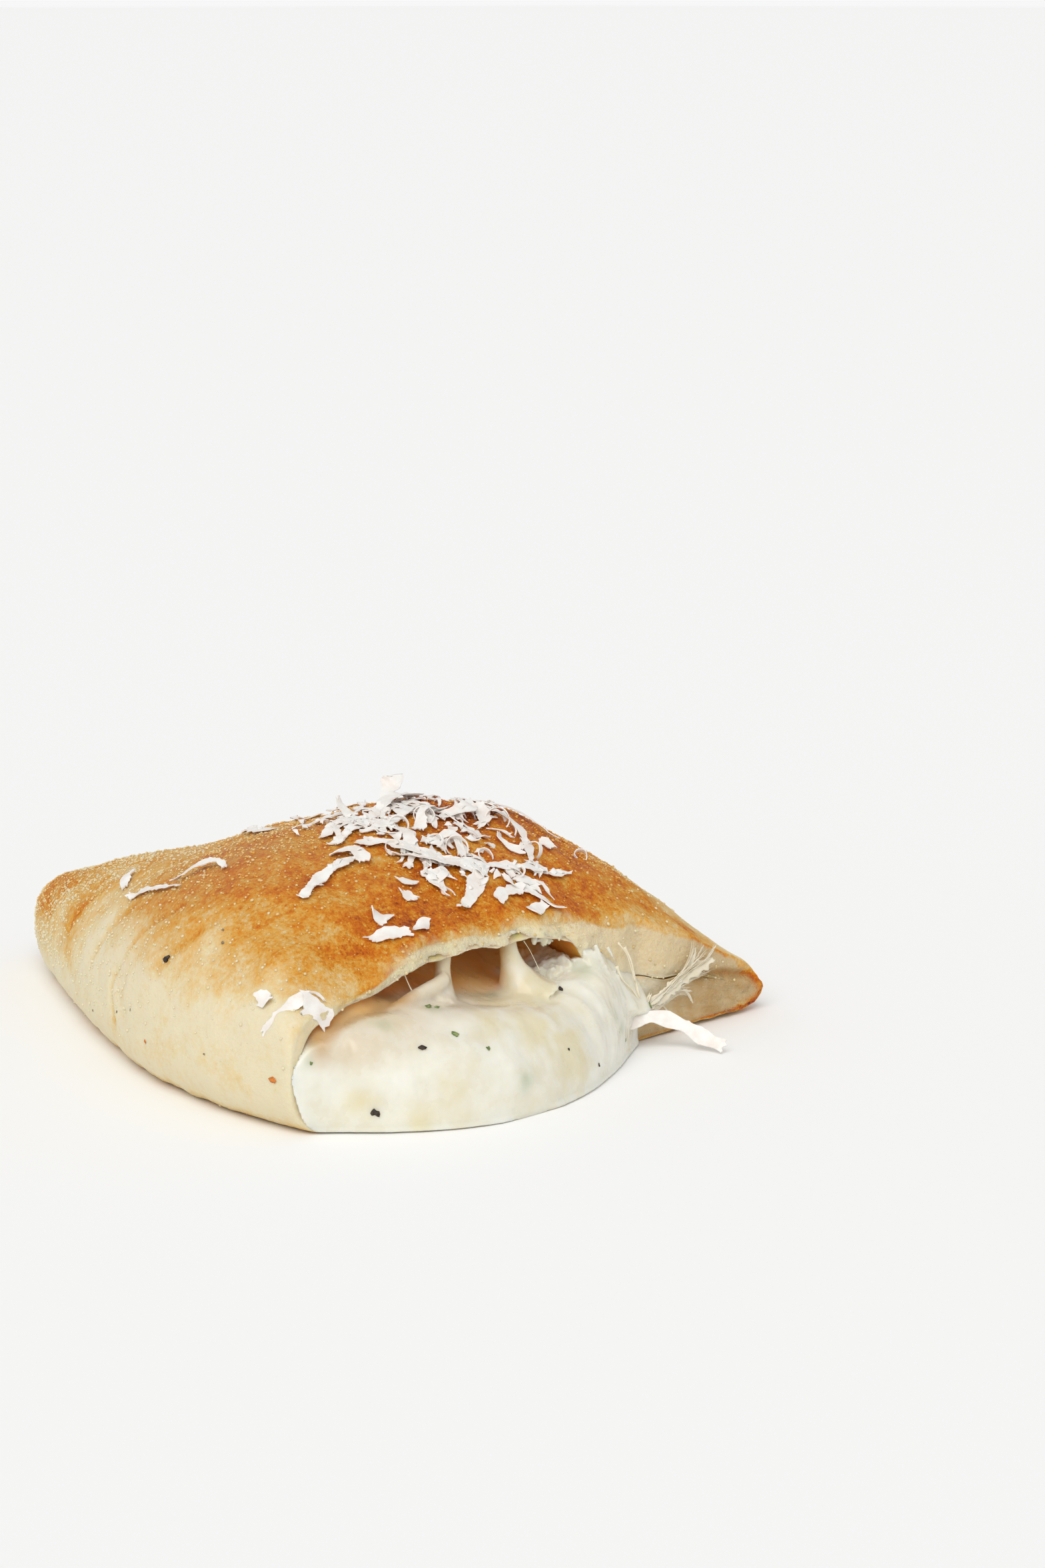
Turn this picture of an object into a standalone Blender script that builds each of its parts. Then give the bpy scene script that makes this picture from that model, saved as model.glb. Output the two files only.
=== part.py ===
"""Half of a small baked calzone, cut across, with grated cheese on the crust.

All sizes are millimetres. X runs along the cut from the fold to the sealed edge,
Y from the cut towards the blunt tip, and Z up. The half rests on its flat base.
"""

import math
import random

import bmesh
import bpy
import numpy as np
from mathutils import Vector
from mathutils.bvhtree import BVHTree

MM = 0.001
CENTRE_X = 40.5
CENTRE_Y = 38.75

# The crust's outline from above and from the side, each as (along Y, size)
LENGTH = 91.0
TIP_LENGTH = 12.0
FOLD_X = [(0, -1.4), (12, -2.3), (28, -0.6), (44, 4.6), (61, 11.8), (78, 20.2), (91, 26.0)]
SEAL_X = [(0, 83.3), (20, 81.0), (40, 72.5), (60, 58.5), (76, 42.0), (91, 34.0)]
HEIGHT = [(0, 18.7), (5, 22.5), (10, 26.0), (25, 30.6), (38, 27.8), (50, 23.8), (70, 17.6), (91, 12.2)]
RIDGE = [(0, 0.40), (12, 0.47), (25, 0.54), (60, 0.56), (91, 0.5)]
NOSE_HEIGHT = 6.0
RIM_HEIGHT = 3.0
TIP_HEIGHT = 6.5
UNDER_FOLD = 4.5
UNDER_RIM = 3.5
RIM_LIFT = 0.6
SAGGED = 12.0

# The dough round the hollow
FOLD_WALL = 1.2
BOND = 8.0
ROOF = [(0, 1.3), (0.05, 1.3), (0.13, 1.0), (0.22, 1.3), (0.31, 1.7), (0.37, 1.4), (0.45, 1.05),
        (0.52, 1.2), (0.62, 1.9), (0.68, 3.5), (1, 4.0)]
ROOF_INSIDE = 2.2
ROOF_INSIDE_FROM = 12.0
BED = [(0, 2.2), (0.35, 2.8), (0.6, 4.0), (1, 5.0)]
SEAM = [(0.5, 9.2), (0.7, 8.4), (1, 6.0)]
CRACK = 1.3
CRACK_FROM = 0.62
CRACK_TO = 0.71
CRACK_CLOSES = 0.2
WALL_ROUND = 0.07
HOLLOW_LENGTH = 83.0
HOLLOW_ROUND = 8.0
# How the roof's edge waves up and down where it was cut, as (X, height), and how far in
LIP_WAVE = [(-1.4, 0.0), (3.6, -0.6), (9.5, -1.2), (16.6, 0.0), (23, 0.8), (28, 0.75), (34, 0.0), (84, 0.0)]
LIP_WAVE_IN = 8.0
# The teeth along the torn edge, and where they start and end along X
LIP_TOOTH = 0.8
LIP_TEETH = [(0.25, 0.87, 0.0), (0.25, 0.53, 1.7)]
LIP_TORN = (0, 5, 58, 70)

# How the section rises from the fold and falls to the seal: inside, and at the sagged cut
RISE_POWER = (3.0, 1.6)
RISE_ROOT = (2.4, 5.0)
FALL_ROOT = (0.66, 0.71)
NARROW = 0.45
RIM_LIFTS = (0.66, 0.93)

# Slow swells of the baked skin as (height, waves along X, start, waves along Y, start),
# a slanting one as (height, along X, along Y, start), and the creases that fan from the tip
SWELL = (0.30, 0.31, 1.2, 0.24, 0.6)
SLANT_SWELL = (0.18, 0.62, 0.35, 2.0)
CREASE = 0.45
CREASE_FAN = (0.55, 0.16)
CREASE_FROM = (20, 70)
CREASE_CREST = 0.9
CREASE_WIDTH = 0.16
CREASE_Y = (52, 62, 80, 88)
SWELL_FADE = 6.0

# The cheese filling: its top at the mouth as (X, Z), and its flow onto the table
GAP = 0.3
SIDE_GAP = 0.39
FRONT_GAP = 0.51
BACK_GAP = 0.6
FILLED = 0.70
FILL_TOP = [(1, 10.8), (4, 12.0), (12, 13.3), (18, 13.4), (25, 12.4), (34, 11.2), (40, 10.6),
            (45, 11.2), (49, 12.2), (53, 10.4), (57, 7.4), (60, 4.0)]
FILL_CLIMB = [(-1, 0.0), (2, 0.0), (5, 0.8), (9, 2.6), (16, 6.0), (26, 14.0), (38, 24.0)]
# At the fold it climbs to the roof at once; the two ways of climbing blend between these X
FILL_CLIMB_AT_FOLD = [(-1, 0.0), (0.5, 0.2), (2, 1.2), (4, 3.0), (8, 6.0), (38, 24.0)]
CLIMB_BLEND = (10, 18)
FLOW_OUT = 13.5
FLOW_X = 26.0
FLOW_LEFT = 26.0
FLOW_RIGHT = 33.6
FLOW_LEFT_POWER = 1.1
FLOW_RIGHT_POWER = 1.25
FLOW_FULL = 2.5
FLOW_FOOT = 1.2
FLOW_FOOT_AT_WALL = 5.5
FLOW_ROUND = 1.5
FLOW_ROUND_AT_WALL = 2.2
FLOW_ROUND_MOST = 0.3
FLOW_FOOT_FADE = 0.25
TOP_BLEND = 1.5

# Cheese drawn up to the roof: X, Y, neck radius, flare at the top and at the foot
PILLARS = [(25.3, 1.6, 0.85, 0.9, 2.0), (37.2, 1.6, 1.15, 1.3, 3.0)]

# Shreds on the crust: X and Y at both ends, sideways bow, width, and lift of the
# middle, or of the far end where it is negative
SHREDS = [
    (11.7, 12.8, 25.2, 16.0, 0.9, 1.4, 0.3), (21.4, 18.2, 24.0, 14.4, 1.6, 1.7, 0.6),
    (26.6, 18.6, 34.5, 10.8, -0.3, 1.6, 0.5), (27.8, 19.6, 41.9, 24.6, -1.4, 1.0, 0.6),
    (32.1, 19.7, 30.9, 14.2, 1.2, 1.3, 0.5), (35.8, 17.3, 44.3, 21.3, 1.3, 1.2, 1.4),
    (35.6, 24.2, 44.2, 27.0, 0.8, 2.2, 1.2), (23.4, 22.1, 32.5, 23.6, 0.8, 1.2, 0.4),
    (23.5, 20.0, 31.8, 21.6, 0.3, 1.2, 0.2), (42.2, 20.2, 48.6, 20.8, -1.2, 1.8, 1.2),
    (48.6, 20.8, 45.1, 16.4, 0.8, 1.5, 0.6), (43.0, 15.5, 44.6, 13.9, 0.0, 1.9, 0.0),
    (48.7, 22.0, 47.2, 8.6, 2.6, 1.2, 0.7), (49.5, 24.5, 50.8, 18.1, 0.6, 1.2, 0.3),
    (51.5, 24.5, 58.3, 15.3, 1.6, 0.8, 0.5), (47.3, 14.8, 47.9, 11.0, -1.5, 0.9, 0.3),
    (34.9, 14.6, 37.4, 11.2, 3.2, 1.2, 1.0), (28.4, 14.2, 38.3, 8.3, -0.4, 2.2, 0.5),
    (35.2, 11.0, 53.9, 7.8, -1.6, 1.1, 0.4), (38.3, 8.6, 31.1, 4.6, 0.3, 2.0, 0.2),
    (30.2, 10.4, 30.2, 7.2, 0.2, 1.7, 0.0), (25.1, 9.9, 26.9, 8.6, 0.0, 1.4, 0.0),
    (24.1, 8.0, 24.9, 6.5, 0.0, 1.5, 0.0), (18.6, 7.4, 19.2, 5.1, 0.0, 2.2, 0.0),
    (15.7, 4.3, 20.8, 2.8, 0.2, 1.7, 0.0), (21.6, 3.0, 24.4, 3.3, 0.0, 1.5, 0.2),
    (36.9, 3.8, 42.3, 5.2, 0.5, 1.4, 0.2), (42.9, 5.9, 46.2, 2.0, -0.4, 1.2, 0.2),
    (41.0, 2.2, 44.2, 2.8, 0.0, 1.6, 0.0), (53.4, 13.3, 53.9, 11.5, 0.0, 1.5, 0.2),
    (42.2, 6.6, 45.8, 5.4, 0.2, 1.3, 0.2), (10.8, 36.3, 12.3, 27.8, 1.8, 0.9, 0.8),
    (15.4, 52.6, 19.2, 55.5, 0.4, 1.2, 0.3), (11.4, 46.8, 9.5, 33.9, 0.4, 0.9, 0.2),
    (-0.2, 7.0, 0.6, 4.9, 0.0, 1.4, 0.0), (-0.6, 4.2, 2.0, 2.0, 0.3, 1.2, 0.1),
    (1.4, 2.6, 5.6, 1.2, -0.2, 1.8, 0.3), (31.5, 25.5, 31.0, 27.2, 0.0, 1.3, -3.0),
    (38.0, 26.5, 43.0, 29.0, 0.5, 2.3, -3.0),
]
BACK_SHREDS = 16
BACK_X = (26.0, 62.0)
BACK_Y = (21.0, 42.0)
BACK_SPREAD = 0.618
BACK_LENGTH = (3.0, 9.0)
BACK_BOW = (-1.0, 1.0)
BACK_WIDTH = (0.9, 1.8)
BACK_LIFT = (0.0, 0.5)
SHRED_THICK = 0.6
SHRED_SUNK = -0.12
SHRED_STEP = 2.2
SHRED_STEPS = (2, 7)
SHRED_END = 0.6
SHRED_TAPER = (0.12, 0.88)
END_LIFT_POWER = 1.5
SLOPE_REACH = 0.4
SEED = 7
PILLAR_RINGS = 8
PILLAR_SIDES = 10
PILLAR_GAP = 0.55
PILLAR_SUNK = 1.6
PILLAR_TOP_POWER = 5
PILLAR_FOOT_POWER = 4
WELD = 1e-6

# The shred on the table and the tufts of cheese over the lower dough, as 3-D paths
TABLE_SHRED = [(54.6, -1.2, 3.6), (58.2, -3.0, 4.2), (60.9, -5.8, 3.1), (62.5, -8.8, 1.5),
               (63.1, -11.2, 0.95)]
TABLE_SHRED_WIDTH = 2.3
TABLE_SHRED_STEPS = 9
TABLE_SHRED_FACING = (-0.45, -0.5, 0.75)
TUFTS = [
    [(56.0, -1.4, 4.6), (60.6, -1.1, 6.6), (65.2, -0.95, 9.4)],
    [(56.4, -1.4, 4.0), (61.6, -1.1, 5.4), (68.6, -0.95, 8.4)],
    [(56.8, -1.5, 3.2), (61.0, -1.2, 4.0), (64.8, -0.95, 5.4)],
]
TUFT_WIDTH = 1.1
TUFT_THICK = 0.45
TUFT_STEPS = 5
TUFT_FACING = (0, -1, 0)

# Flat ropes of cheese drawn up from the flow's right end to the upper lip
ROPES = [
    [(49.6, -1.4, 9.8), (48.6, -1.1, 12.6), (46.6, -0.95, 15.2)],
    [(52.0, -1.6, 8.2), (51.6, -1.2, 11.6), (50.2, -0.95, 14.4)],
    [(54.4, -1.6, 5.8), (54.4, -1.2, 9.4), (53.6, -0.95, 12.8)],
]
ROPE_WIDTH = 1.8
ROPE_THICK = 0.8

CRUST_COLOUR = (0.60, 0.32, 0.11)
FILLING_COLOUR = (0.83, 0.80, 0.66)

TOP_STEPS = 24
BASE_STEPS = 14
FOLD_STEPS = 4
RIM_STEPS = 4
OPPOSITE_FILLED = 0.64
CRUST_STATIONS = 27
FLOW_STATIONS = 9


def smooth(low, high, value):
    """Ease from 0 at low to 1 at high."""
    t = np.clip((value - low) / (high - low), 0, 1)
    return t * t * (3 - 2 * t)


def curve(points, at):
    """Read a smooth curve that passes through the points without overshoot."""
    xs, ys = np.array(points, float).T
    step = np.diff(xs)
    slope = np.diff(ys) / step
    tangent = np.zeros_like(ys)
    tangent[0], tangent[-1] = slope[0], slope[-1]
    same = slope[:-1] * slope[1:] > 0
    mean = 2 * slope[:-1] * slope[1:] / np.where(same, slope[:-1] + slope[1:], 1)
    tangent[1:-1] = np.where(same, mean, 0)
    at = np.clip(at, xs[0], xs[-1])
    i = np.clip(np.searchsorted(xs, at) - 1, 0, len(xs) - 2)
    t = (at - xs[i]) / step[i]
    return ((1 + 2 * t) * (1 - t) ** 2 * ys[i] + t * (1 - t) ** 2 * step[i] * tangent[i]
            + t * t * (3 - 2 * t) * ys[i + 1] + t * t * (t - 1) * step[i] * tangent[i + 1])


def quarter(t):
    """Rise of a quarter circle: 1 at t = 0, 0 at t = 1."""
    return 1 - np.sqrt(np.clip(1 - np.clip(1 - t, 0, 1) ** 2, 0, 1))


def ends(y):
    """X of the fold and of the sealed edge, and how far the tip has closed."""
    fold, seal = curve(FOLD_X, y), curve(SEAL_X, y)
    past = np.clip(y - LENGTH + TIP_LENGTH, 0, None) / TIP_LENGTH
    closing = np.sqrt(np.clip(1 - past ** 2, 0, 1))
    middle, half = (fold + seal) / 2, (seal - fold) / 2 * closing
    return middle - half, middle + half, closing


def relief(x, y):
    """Slow swells of the baked surface, and creases that fan from the tip."""
    height, x_waves, x_start, y_waves, y_start = SWELL
    swell = height * np.sin(x * x_waves + x_start) * np.sin(y * y_waves + y_start)
    height, x_waves, y_waves, start = SLANT_SWELL
    swell = swell + height * np.sin(x * x_waves + y * y_waves + start)
    fan = np.sin((x - CREASE_FROM[0]) * CREASE_FAN[0] + (y - CREASE_FROM[1]) * CREASE_FAN[1])
    crease = -CREASE * np.exp(-((fan - CREASE_CREST) / CREASE_WIDTH) ** 2)
    near_tip = smooth(*CREASE_Y[:2], y) * (1 - smooth(*CREASE_Y[2:], y))
    return swell + crease * near_tip


def crust_top(t, y):
    """Height of the crust's upper face at t across it, 0 at the fold."""
    height, ridge = curve(HEIGHT, y), curve(RIDGE, y)
    sag = 1 - smooth(0, SAGGED, y)
    end = NOSE_HEIGHT + (RIM_HEIGHT - NOSE_HEIGHT) * t
    power = RISE_POWER[0] + (RISE_POWER[1] - RISE_POWER[0]) * sag
    root = RISE_ROOT[0] + (RISE_ROOT[1] - RISE_ROOT[0]) * sag
    rise = (1 - np.clip(1 - t / ridge, 0, 1) ** power) ** (1 / root)
    fall_root = FALL_ROOT[0] + (FALL_ROOT[1] - FALL_ROOT[0]) * sag
    fall = (1 - np.clip((t - ridge) / (1 - ridge), 0, 1) ** 2) ** fall_root
    z = end + (height - end) * np.where(t < ridge, rise, fall)
    fold, seal, closing = ends(y)
    x = fold + (seal - fold) * t
    z = z + relief(x, y) * np.clip((z - end) / SWELL_FADE, 0, 1)
    z = z + curve(LIP_WAVE, x) * (1 - smooth(0, LIP_WAVE_IN, y))
    return TIP_HEIGHT * (1 - closing) + z * closing


def crust_base(t, y):
    """Height of the crust's lower face: flat, rounded at the fold and the rim."""
    fold, seal, closing = ends(y)
    width = np.maximum(seal - fold, 0.1)
    at_fold = NOSE_HEIGHT * quarter(t * width / np.minimum(UNDER_FOLD, width * NARROW))
    round_rim = quarter((1 - t) * width / np.minimum(UNDER_RIM, width * NARROW))
    z = at_fold + (RIM_HEIGHT - RIM_LIFT) * round_rim + RIM_LIFT * smooth(*RIM_LIFTS, t)
    return TIP_HEIGHT * (1 - closing) + z * closing


def top_height(x, y):
    """Height of the crust's upper face above a place on the table."""
    fold, seal, _ = ends(y)
    return crust_top(np.clip((x - fold) / (seal - fold), 0.001, 0.999), y)


def hollow(t, y):
    """X, roof and bed of the hollow that the filling lies in, crack included."""
    fold, seal, _ = ends(y)
    past = np.clip(y - HOLLOW_LENGTH + HOLLOW_ROUND, 0, None) / HOLLOW_ROUND
    closing = np.sqrt(np.clip(1 - past ** 2, 0, 1))
    left, right = fold + FOLD_WALL, seal - BOND
    x = (left + right) / 2 + (right - left) * (t - 0.5) * closing
    bed = curve(BED, t)
    roof = top_height(x, y) - curve(ROOF, t) - ROOF_INSIDE * smooth(0, ROOF_INSIDE_FROM, y)
    seam = np.minimum(curve(SEAM, t), (roof + bed) / 2)
    open_half = CRACK / 2 * np.clip((1 - t) / CRACK_CLOSES, 0, 1)
    to_crack = smooth(CRACK_FROM, CRACK_TO, t)
    upper = roof * (1 - to_crack) + (seam + open_half) * to_crack
    lower = bed * (1 - to_crack) + (seam - open_half) * to_crack
    middle = (upper + lower) / 2
    room = (1 - quarter(t / WALL_ROUND)) * closing
    return x, middle + (upper - middle) * room, middle + (lower - middle) * room


def lowest(a, b, blend):
    """The lower of two heights, blended where they are close."""
    h = np.clip(blend - np.abs(a - b), 0, None) / blend
    return np.minimum(a, b) - h * h * blend / 4


def across(count):
    """Places across the hollow: close together at the fold wall, then even."""
    rounded = WALL_ROUND * (1 - np.cos(np.linspace(0, math.pi / 2, FOLD_STEPS)))
    even = np.linspace(WALL_ROUND, FILLED, count - FOLD_STEPS - RIM_STEPS + 1)
    return np.concatenate([rounded, even[1:], np.linspace(FILLED, 1, RIM_STEPS + 1)[1:]])


def across_top(count):
    """Places across the crust's upper face, opposite those of the hollow."""
    hollow_t = np.concatenate([[0, WALL_ROUND], np.linspace(FILLED, 1, RIM_STEPS + 1)])
    rim = 1 - (1 - OPPOSITE_FILLED) * (1 - np.linspace(0, 1, RIM_STEPS + 1)) ** 2
    return np.interp(across(count), hollow_t, np.concatenate([[0, WALL_ROUND], rim]))


def across_base(count, y):
    """Places across the crust's lower face, close together where it is rounded."""
    fold, seal, _ = ends(y)
    at_fold = min(UNDER_FOLD / max(seal - fold, 0.1), NARROW)
    at_rim = min(UNDER_RIM / max(seal - fold, 0.1), NARROW)
    rounded = at_fold * (1 - np.cos(np.linspace(0, math.pi / 2, FOLD_STEPS)))
    even = np.linspace(at_fold, 1 - at_rim, count - FOLD_STEPS - RIM_STEPS + 1)
    rim = 1 - at_rim * (1 - np.sin(np.linspace(0, math.pi / 2, RIM_STEPS + 1)))
    return np.concatenate([rounded, even[1:], rim[1:]])


def ring(points_on_top, points_on_base):
    """Join a top row and a base row, both from the fold outwards, into one ring."""
    return np.concatenate([points_on_top[::-1], points_on_base[1:-1]])


def stations(start, end, count):
    """Places along Y, closer together towards both ends."""
    return start + (end - start) * (1 - np.cos(np.linspace(0, math.pi, count))) / 2


def place(points):
    """Move points from the design's corner to the frame's origin, in metres."""
    return (np.asarray(points, float) - (CENTRE_X, CENTRE_Y, 0)) * MM


def add_object(name, points, faces, collection):
    mesh = bpy.data.meshes.new(name)
    mesh.from_pydata([tuple(p) for p in place(points)], [], faces)
    mesh.validate()
    made = bpy.data.objects.new(name, mesh)
    collection.objects.link(made)
    return made


def tube_faces(rows, width, flip):
    """Quads between rings of equal size, as triangles."""
    faces = []
    for row in range(rows - 1):
        for i in range(width):
            j = (i + 1) % width
            a, b = row * width + i, row * width + j
            c, d = b + width, a + width
            quad = [(a, b, c), (a, c, d)]
            faces += [tuple(reversed(f)) for f in quad] if flip else quad
    return faces


def fan_faces(first, width, pole, flip):
    """Close a ring onto one point."""
    faces = [(first + i, first + (i + 1) % width, pole) for i in range(width)]
    return [tuple(reversed(f)) for f in faces] if flip else faces


def lip_line(x):
    """How far the torn upper lip stands back from the cut at X."""
    teeth = 0.5 + sum(size * np.sin(x * waves + start) for size, waves, start in LIP_TEETH)
    return LIP_TOOTH * teeth * smooth(*LIP_TORN[:2], x) * (1 - smooth(*LIP_TORN[2:], x))


def build_crust(collection):
    """Dough shell: outer loft, hollow loft, and the cut face that joins them."""
    inner_top, inner_base = across(TOP_STEPS), across(BASE_STEPS)
    outer_top = across_top(TOP_STEPS)
    width = len(inner_top) + len(inner_base) - 2
    points = []
    outer_y = stations(0, LENGTH, CRUST_STATIONS)[:-1]
    for y in outer_y:
        fold, seal, _ = ends(y)
        outer_base = across_base(BASE_STEPS, y)
        x = fold + (seal - fold) * ring(outer_top, outer_base)
        z = ring(crust_top(outer_top, y), crust_base(outer_base, y))
        back = lip_line(x) * (np.arange(width) < len(outer_top)) * (y == 0)
        points += list(zip(x, y + back, z))
    inner_y = stations(0, HOLLOW_LENGTH, CRUST_STATIONS - 3)[:-1]
    for y in inner_y:
        x_top, roof, _ = hollow(inner_top, y)
        x_base, _, bed = hollow(inner_base, y)
        x = ring(x_top, x_base)
        back = lip_line(x) * (np.arange(width) < len(inner_top)) * (y == 0)
        points += list(zip(x, y + back, ring(roof, bed)))
    fold, seal, _ = ends(LENGTH)
    tip, inner_tip = len(points), len(points) + 1
    points.append((float(fold), LENGTH, TIP_HEIGHT))
    x, roof, _ = hollow(np.array([0.5]), HOLLOW_LENGTH)
    points.append((float(x[0]), HOLLOW_LENGTH, float(roof[0])))
    inner_start = len(outer_y) * width
    faces = tube_faces(len(outer_y), width, True)
    faces += fan_faces((len(outer_y) - 1) * width, width, tip, True)
    faces += [tuple(inner_start + i for i in f) for f in tube_faces(len(inner_y), width, False)]
    faces += fan_faces(inner_start + (len(inner_y) - 1) * width, width, inner_tip, False)
    for i in range(width):
        j = (i + 1) % width
        faces += [(i, j, inner_start + i), (j, inner_start + j, inner_start + i)]
    return add_object("crust", points, faces, collection)


def fill_top(x, y, roof):
    """Top of the filling: low at the mouth, climbing to the roof further in."""
    at_fold = curve(FILL_CLIMB_AT_FOLD, y)
    climb = at_fold + (curve(FILL_CLIMB, y) - at_fold) * smooth(*CLIMB_BLEND, x)
    return lowest(roof - GAP, curve(FILL_TOP, x) + climb, TOP_BLEND)


def flow_reach(x):
    """How far the filling has run out over the table at X."""
    side = np.abs(x - FLOW_X) / np.where(x < FLOW_X, FLOW_LEFT, FLOW_RIGHT)
    power = np.where(x < FLOW_X, FLOW_LEFT_POWER, FLOW_RIGHT_POWER)
    return FLOW_OUT * np.clip(1 - side ** 2, 1e-4, 1) ** power


def flow_ring(top_t, base_t, y):
    """Section of the filling in front of the cut."""
    out = -y / FLOW_OUT
    left = FLOW_X - FLOW_LEFT * math.sqrt(1 - out ** (1 / FLOW_LEFT_POWER))
    right = FLOW_X + FLOW_RIGHT * math.sqrt(1 - out ** (1 / FLOW_RIGHT_POWER))
    x_top, x_base = left + (right - left) * top_t, left + (right - left) * base_t
    bulge = np.sqrt(np.clip(1 - (-y / flow_reach(x_top)) ** FLOW_FULL, 0, 1))
    near_wall = (1 - out) ** 2
    foot_left = FLOW_FOOT + (FLOW_FOOT_AT_WALL - FLOW_FOOT) * near_wall
    foot = foot_left + (FLOW_FOOT - foot_left) * smooth(0, FLOW_FOOT_FADE, top_t)
    z_top = foot + (curve(FILL_TOP, x_top) - foot) * bulge
    widest_round = (right - left) * FLOW_ROUND_MOST
    round_left = min(FLOW_ROUND + FLOW_ROUND_AT_WALL * near_wall, widest_round)
    round_right = min(FLOW_ROUND, widest_round)
    z_base = (foot_left * quarter((x_base - left) / round_left)
              + FLOW_FOOT * quarter((right - x_base) / round_right))
    return ring(x_top, x_base), ring(z_top, z_base)


def build_filling(collection):
    """Cheese filling: through the hollow, out of the mouth and onto the table."""
    top_t, base_t = across(TOP_STEPS), across(BASE_STEPS)
    top_t, base_t = top_t[top_t <= FILLED + 1e-6], base_t[base_t <= FILLED + 1e-6]
    width = len(top_t) + len(base_t) - 2
    points, rows = [], 0
    inner_y = stations(0, HOLLOW_LENGTH, CRUST_STATIONS - 3)[:-1]
    for y in [*inner_y[::-1], -GAP]:
        x_top, roof, _ = hollow(top_t, max(y, 0.0))
        x_base, _, bed = hollow(base_t, max(y, 0.0))
        middle = (x_top[0] + x_top[-1]) / 2
        x = ring(x_top, x_base)
        half = max(x_top[-1] - x_top[0], 1) / 2
        x = middle + (x - middle) * (1 - SIDE_GAP / half)
        top = fill_top(x_top, y, roof)
        low = bed + GAP
        top[0] = low[0] = (roof[0] + bed[0]) / 2
        points += list(zip(x, y + 0 * x, ring(top, low)))
        rows += 1
    for y in -FLOW_OUT * np.sin(np.linspace(0, math.pi / 2, FLOW_STATIONS))[:-1]:
        y = min(y, -FRONT_GAP)
        x, z = flow_ring(top_t / FILLED, base_t / FILLED, y)
        points += list(zip(x, y + 0 * x, z))
        rows += 1
    x, roof, _ = hollow(np.array([0.5]), HOLLOW_LENGTH)
    back, front = len(points), len(points) + 1
    points.append((float(x[0]), HOLLOW_LENGTH - BACK_GAP, float(roof[0])))
    points.append((FLOW_X, -FLOW_OUT, FLOW_FOOT))
    faces = tube_faces(rows, width, False)
    faces += fan_faces(0, width, back, True)
    faces += fan_faces((rows - 1) * width, width, front, False)
    return add_object("filling", points, faces, collection)


def unit(vectors):
    return vectors / np.linalg.norm(vectors, axis=-1, keepdims=True)


def ribbon(name, path, face_up, widths, thick, collection):
    """Flat strip along a path, its broad side towards face_up."""
    along = unit(np.gradient(path, axis=0))
    side = unit(np.cross(face_up, along))
    up = np.cross(along, side)
    wide, tall = side * widths[:, None] / 2, up * thick / 2
    low, high = path - tall, path + tall
    corners = np.stack([low - wide, low + wide, high + wide, high - wide], axis=1)
    rows = len(path)
    last = 4 * (rows - 1)
    faces = tube_faces(rows, 4, False)
    faces += [(0, 3, 2), (0, 2, 1), (last, last + 1, last + 2), (last, last + 2, last + 3)]
    return add_object(name, corners.reshape(-1, 3), faces, collection)


def taper(count):
    """Widths along a shred, narrower at its ends."""
    return SHRED_END + (1 - SHRED_END) * np.sin(np.linspace(*SHRED_TAPER, count) * math.pi)


def crust_normal(x, y):
    """Direction straight out of the crust's upper face."""
    step = SLOPE_REACH
    slope_x = (top_height(x + step, y) - top_height(x - step, y)) / (2 * step)
    slope_y = (top_height(x, y + step) - top_height(x, y - step)) / (2 * step)
    return unit(np.stack([-slope_x, -slope_y, np.ones_like(x)], axis=-1))


def seat(skin, x, y):
    """Height of the faceted crust under each place."""
    heights = []
    for px, py in zip(x, y):
        hit = skin.ray_cast(Vector(place([(px, py, 100)])[0]), Vector((0, 0, -1)))[0]
        heights.append(hit.z / MM if hit else top_height(px, py))
    return np.array(heights, float)


def lay_shred(name, shred, skin, collection):
    """One strip of grated cheese on the crust, bowed and lifted as it fell."""
    x0, y0, x1, y1, bow, width, lift = shred
    reach = math.hypot(x1 - x0, y1 - y0)
    length = reach + abs(lift) * (lift < 0)
    steps = int(np.clip(round(length / SHRED_STEP), *SHRED_STEPS)) + 1
    s = np.linspace(0, 1, steps)
    arc = bow * 4 * s * (1 - s)
    x = x0 + (x1 - x0) * s - (y1 - y0) / reach * arc
    y = y0 + (y1 - y0) * s + (x1 - x0) / reach * arc
    raised = lift * np.sin(s * math.pi) if lift >= 0 else -lift * s ** END_LIFT_POWER
    normal = crust_normal(x, y)
    path = np.stack([x, y, seat(skin, x, y)], axis=-1) + normal * (raised - SHRED_SUNK)[:, None]
    ribbon(name, path, normal, width * taper(steps), SHRED_THICK, collection)


def back_shreds():
    """Shreds behind the crest, spread evenly with a seeded scatter."""
    draw = random.Random(SEED)
    for i in range(BACK_SHREDS):
        spread = (i * BACK_SPREAD) % 1
        x = BACK_X[0] + (BACK_X[1] - BACK_X[0]) * spread
        y = BACK_Y[0] + (BACK_Y[1] - BACK_Y[0]) * (i + 0.5) / BACK_SHREDS
        heading = draw.uniform(0, math.pi)
        length = draw.uniform(*BACK_LENGTH)
        dx, dy = length / 2 * math.cos(heading), length / 2 * math.sin(heading)
        bow, width, lift = (draw.uniform(*span) for span in (BACK_BOW, BACK_WIDTH, BACK_LIFT))
        yield x - dx, y - dy, x + dx, y + dy, bow, width, lift


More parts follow.
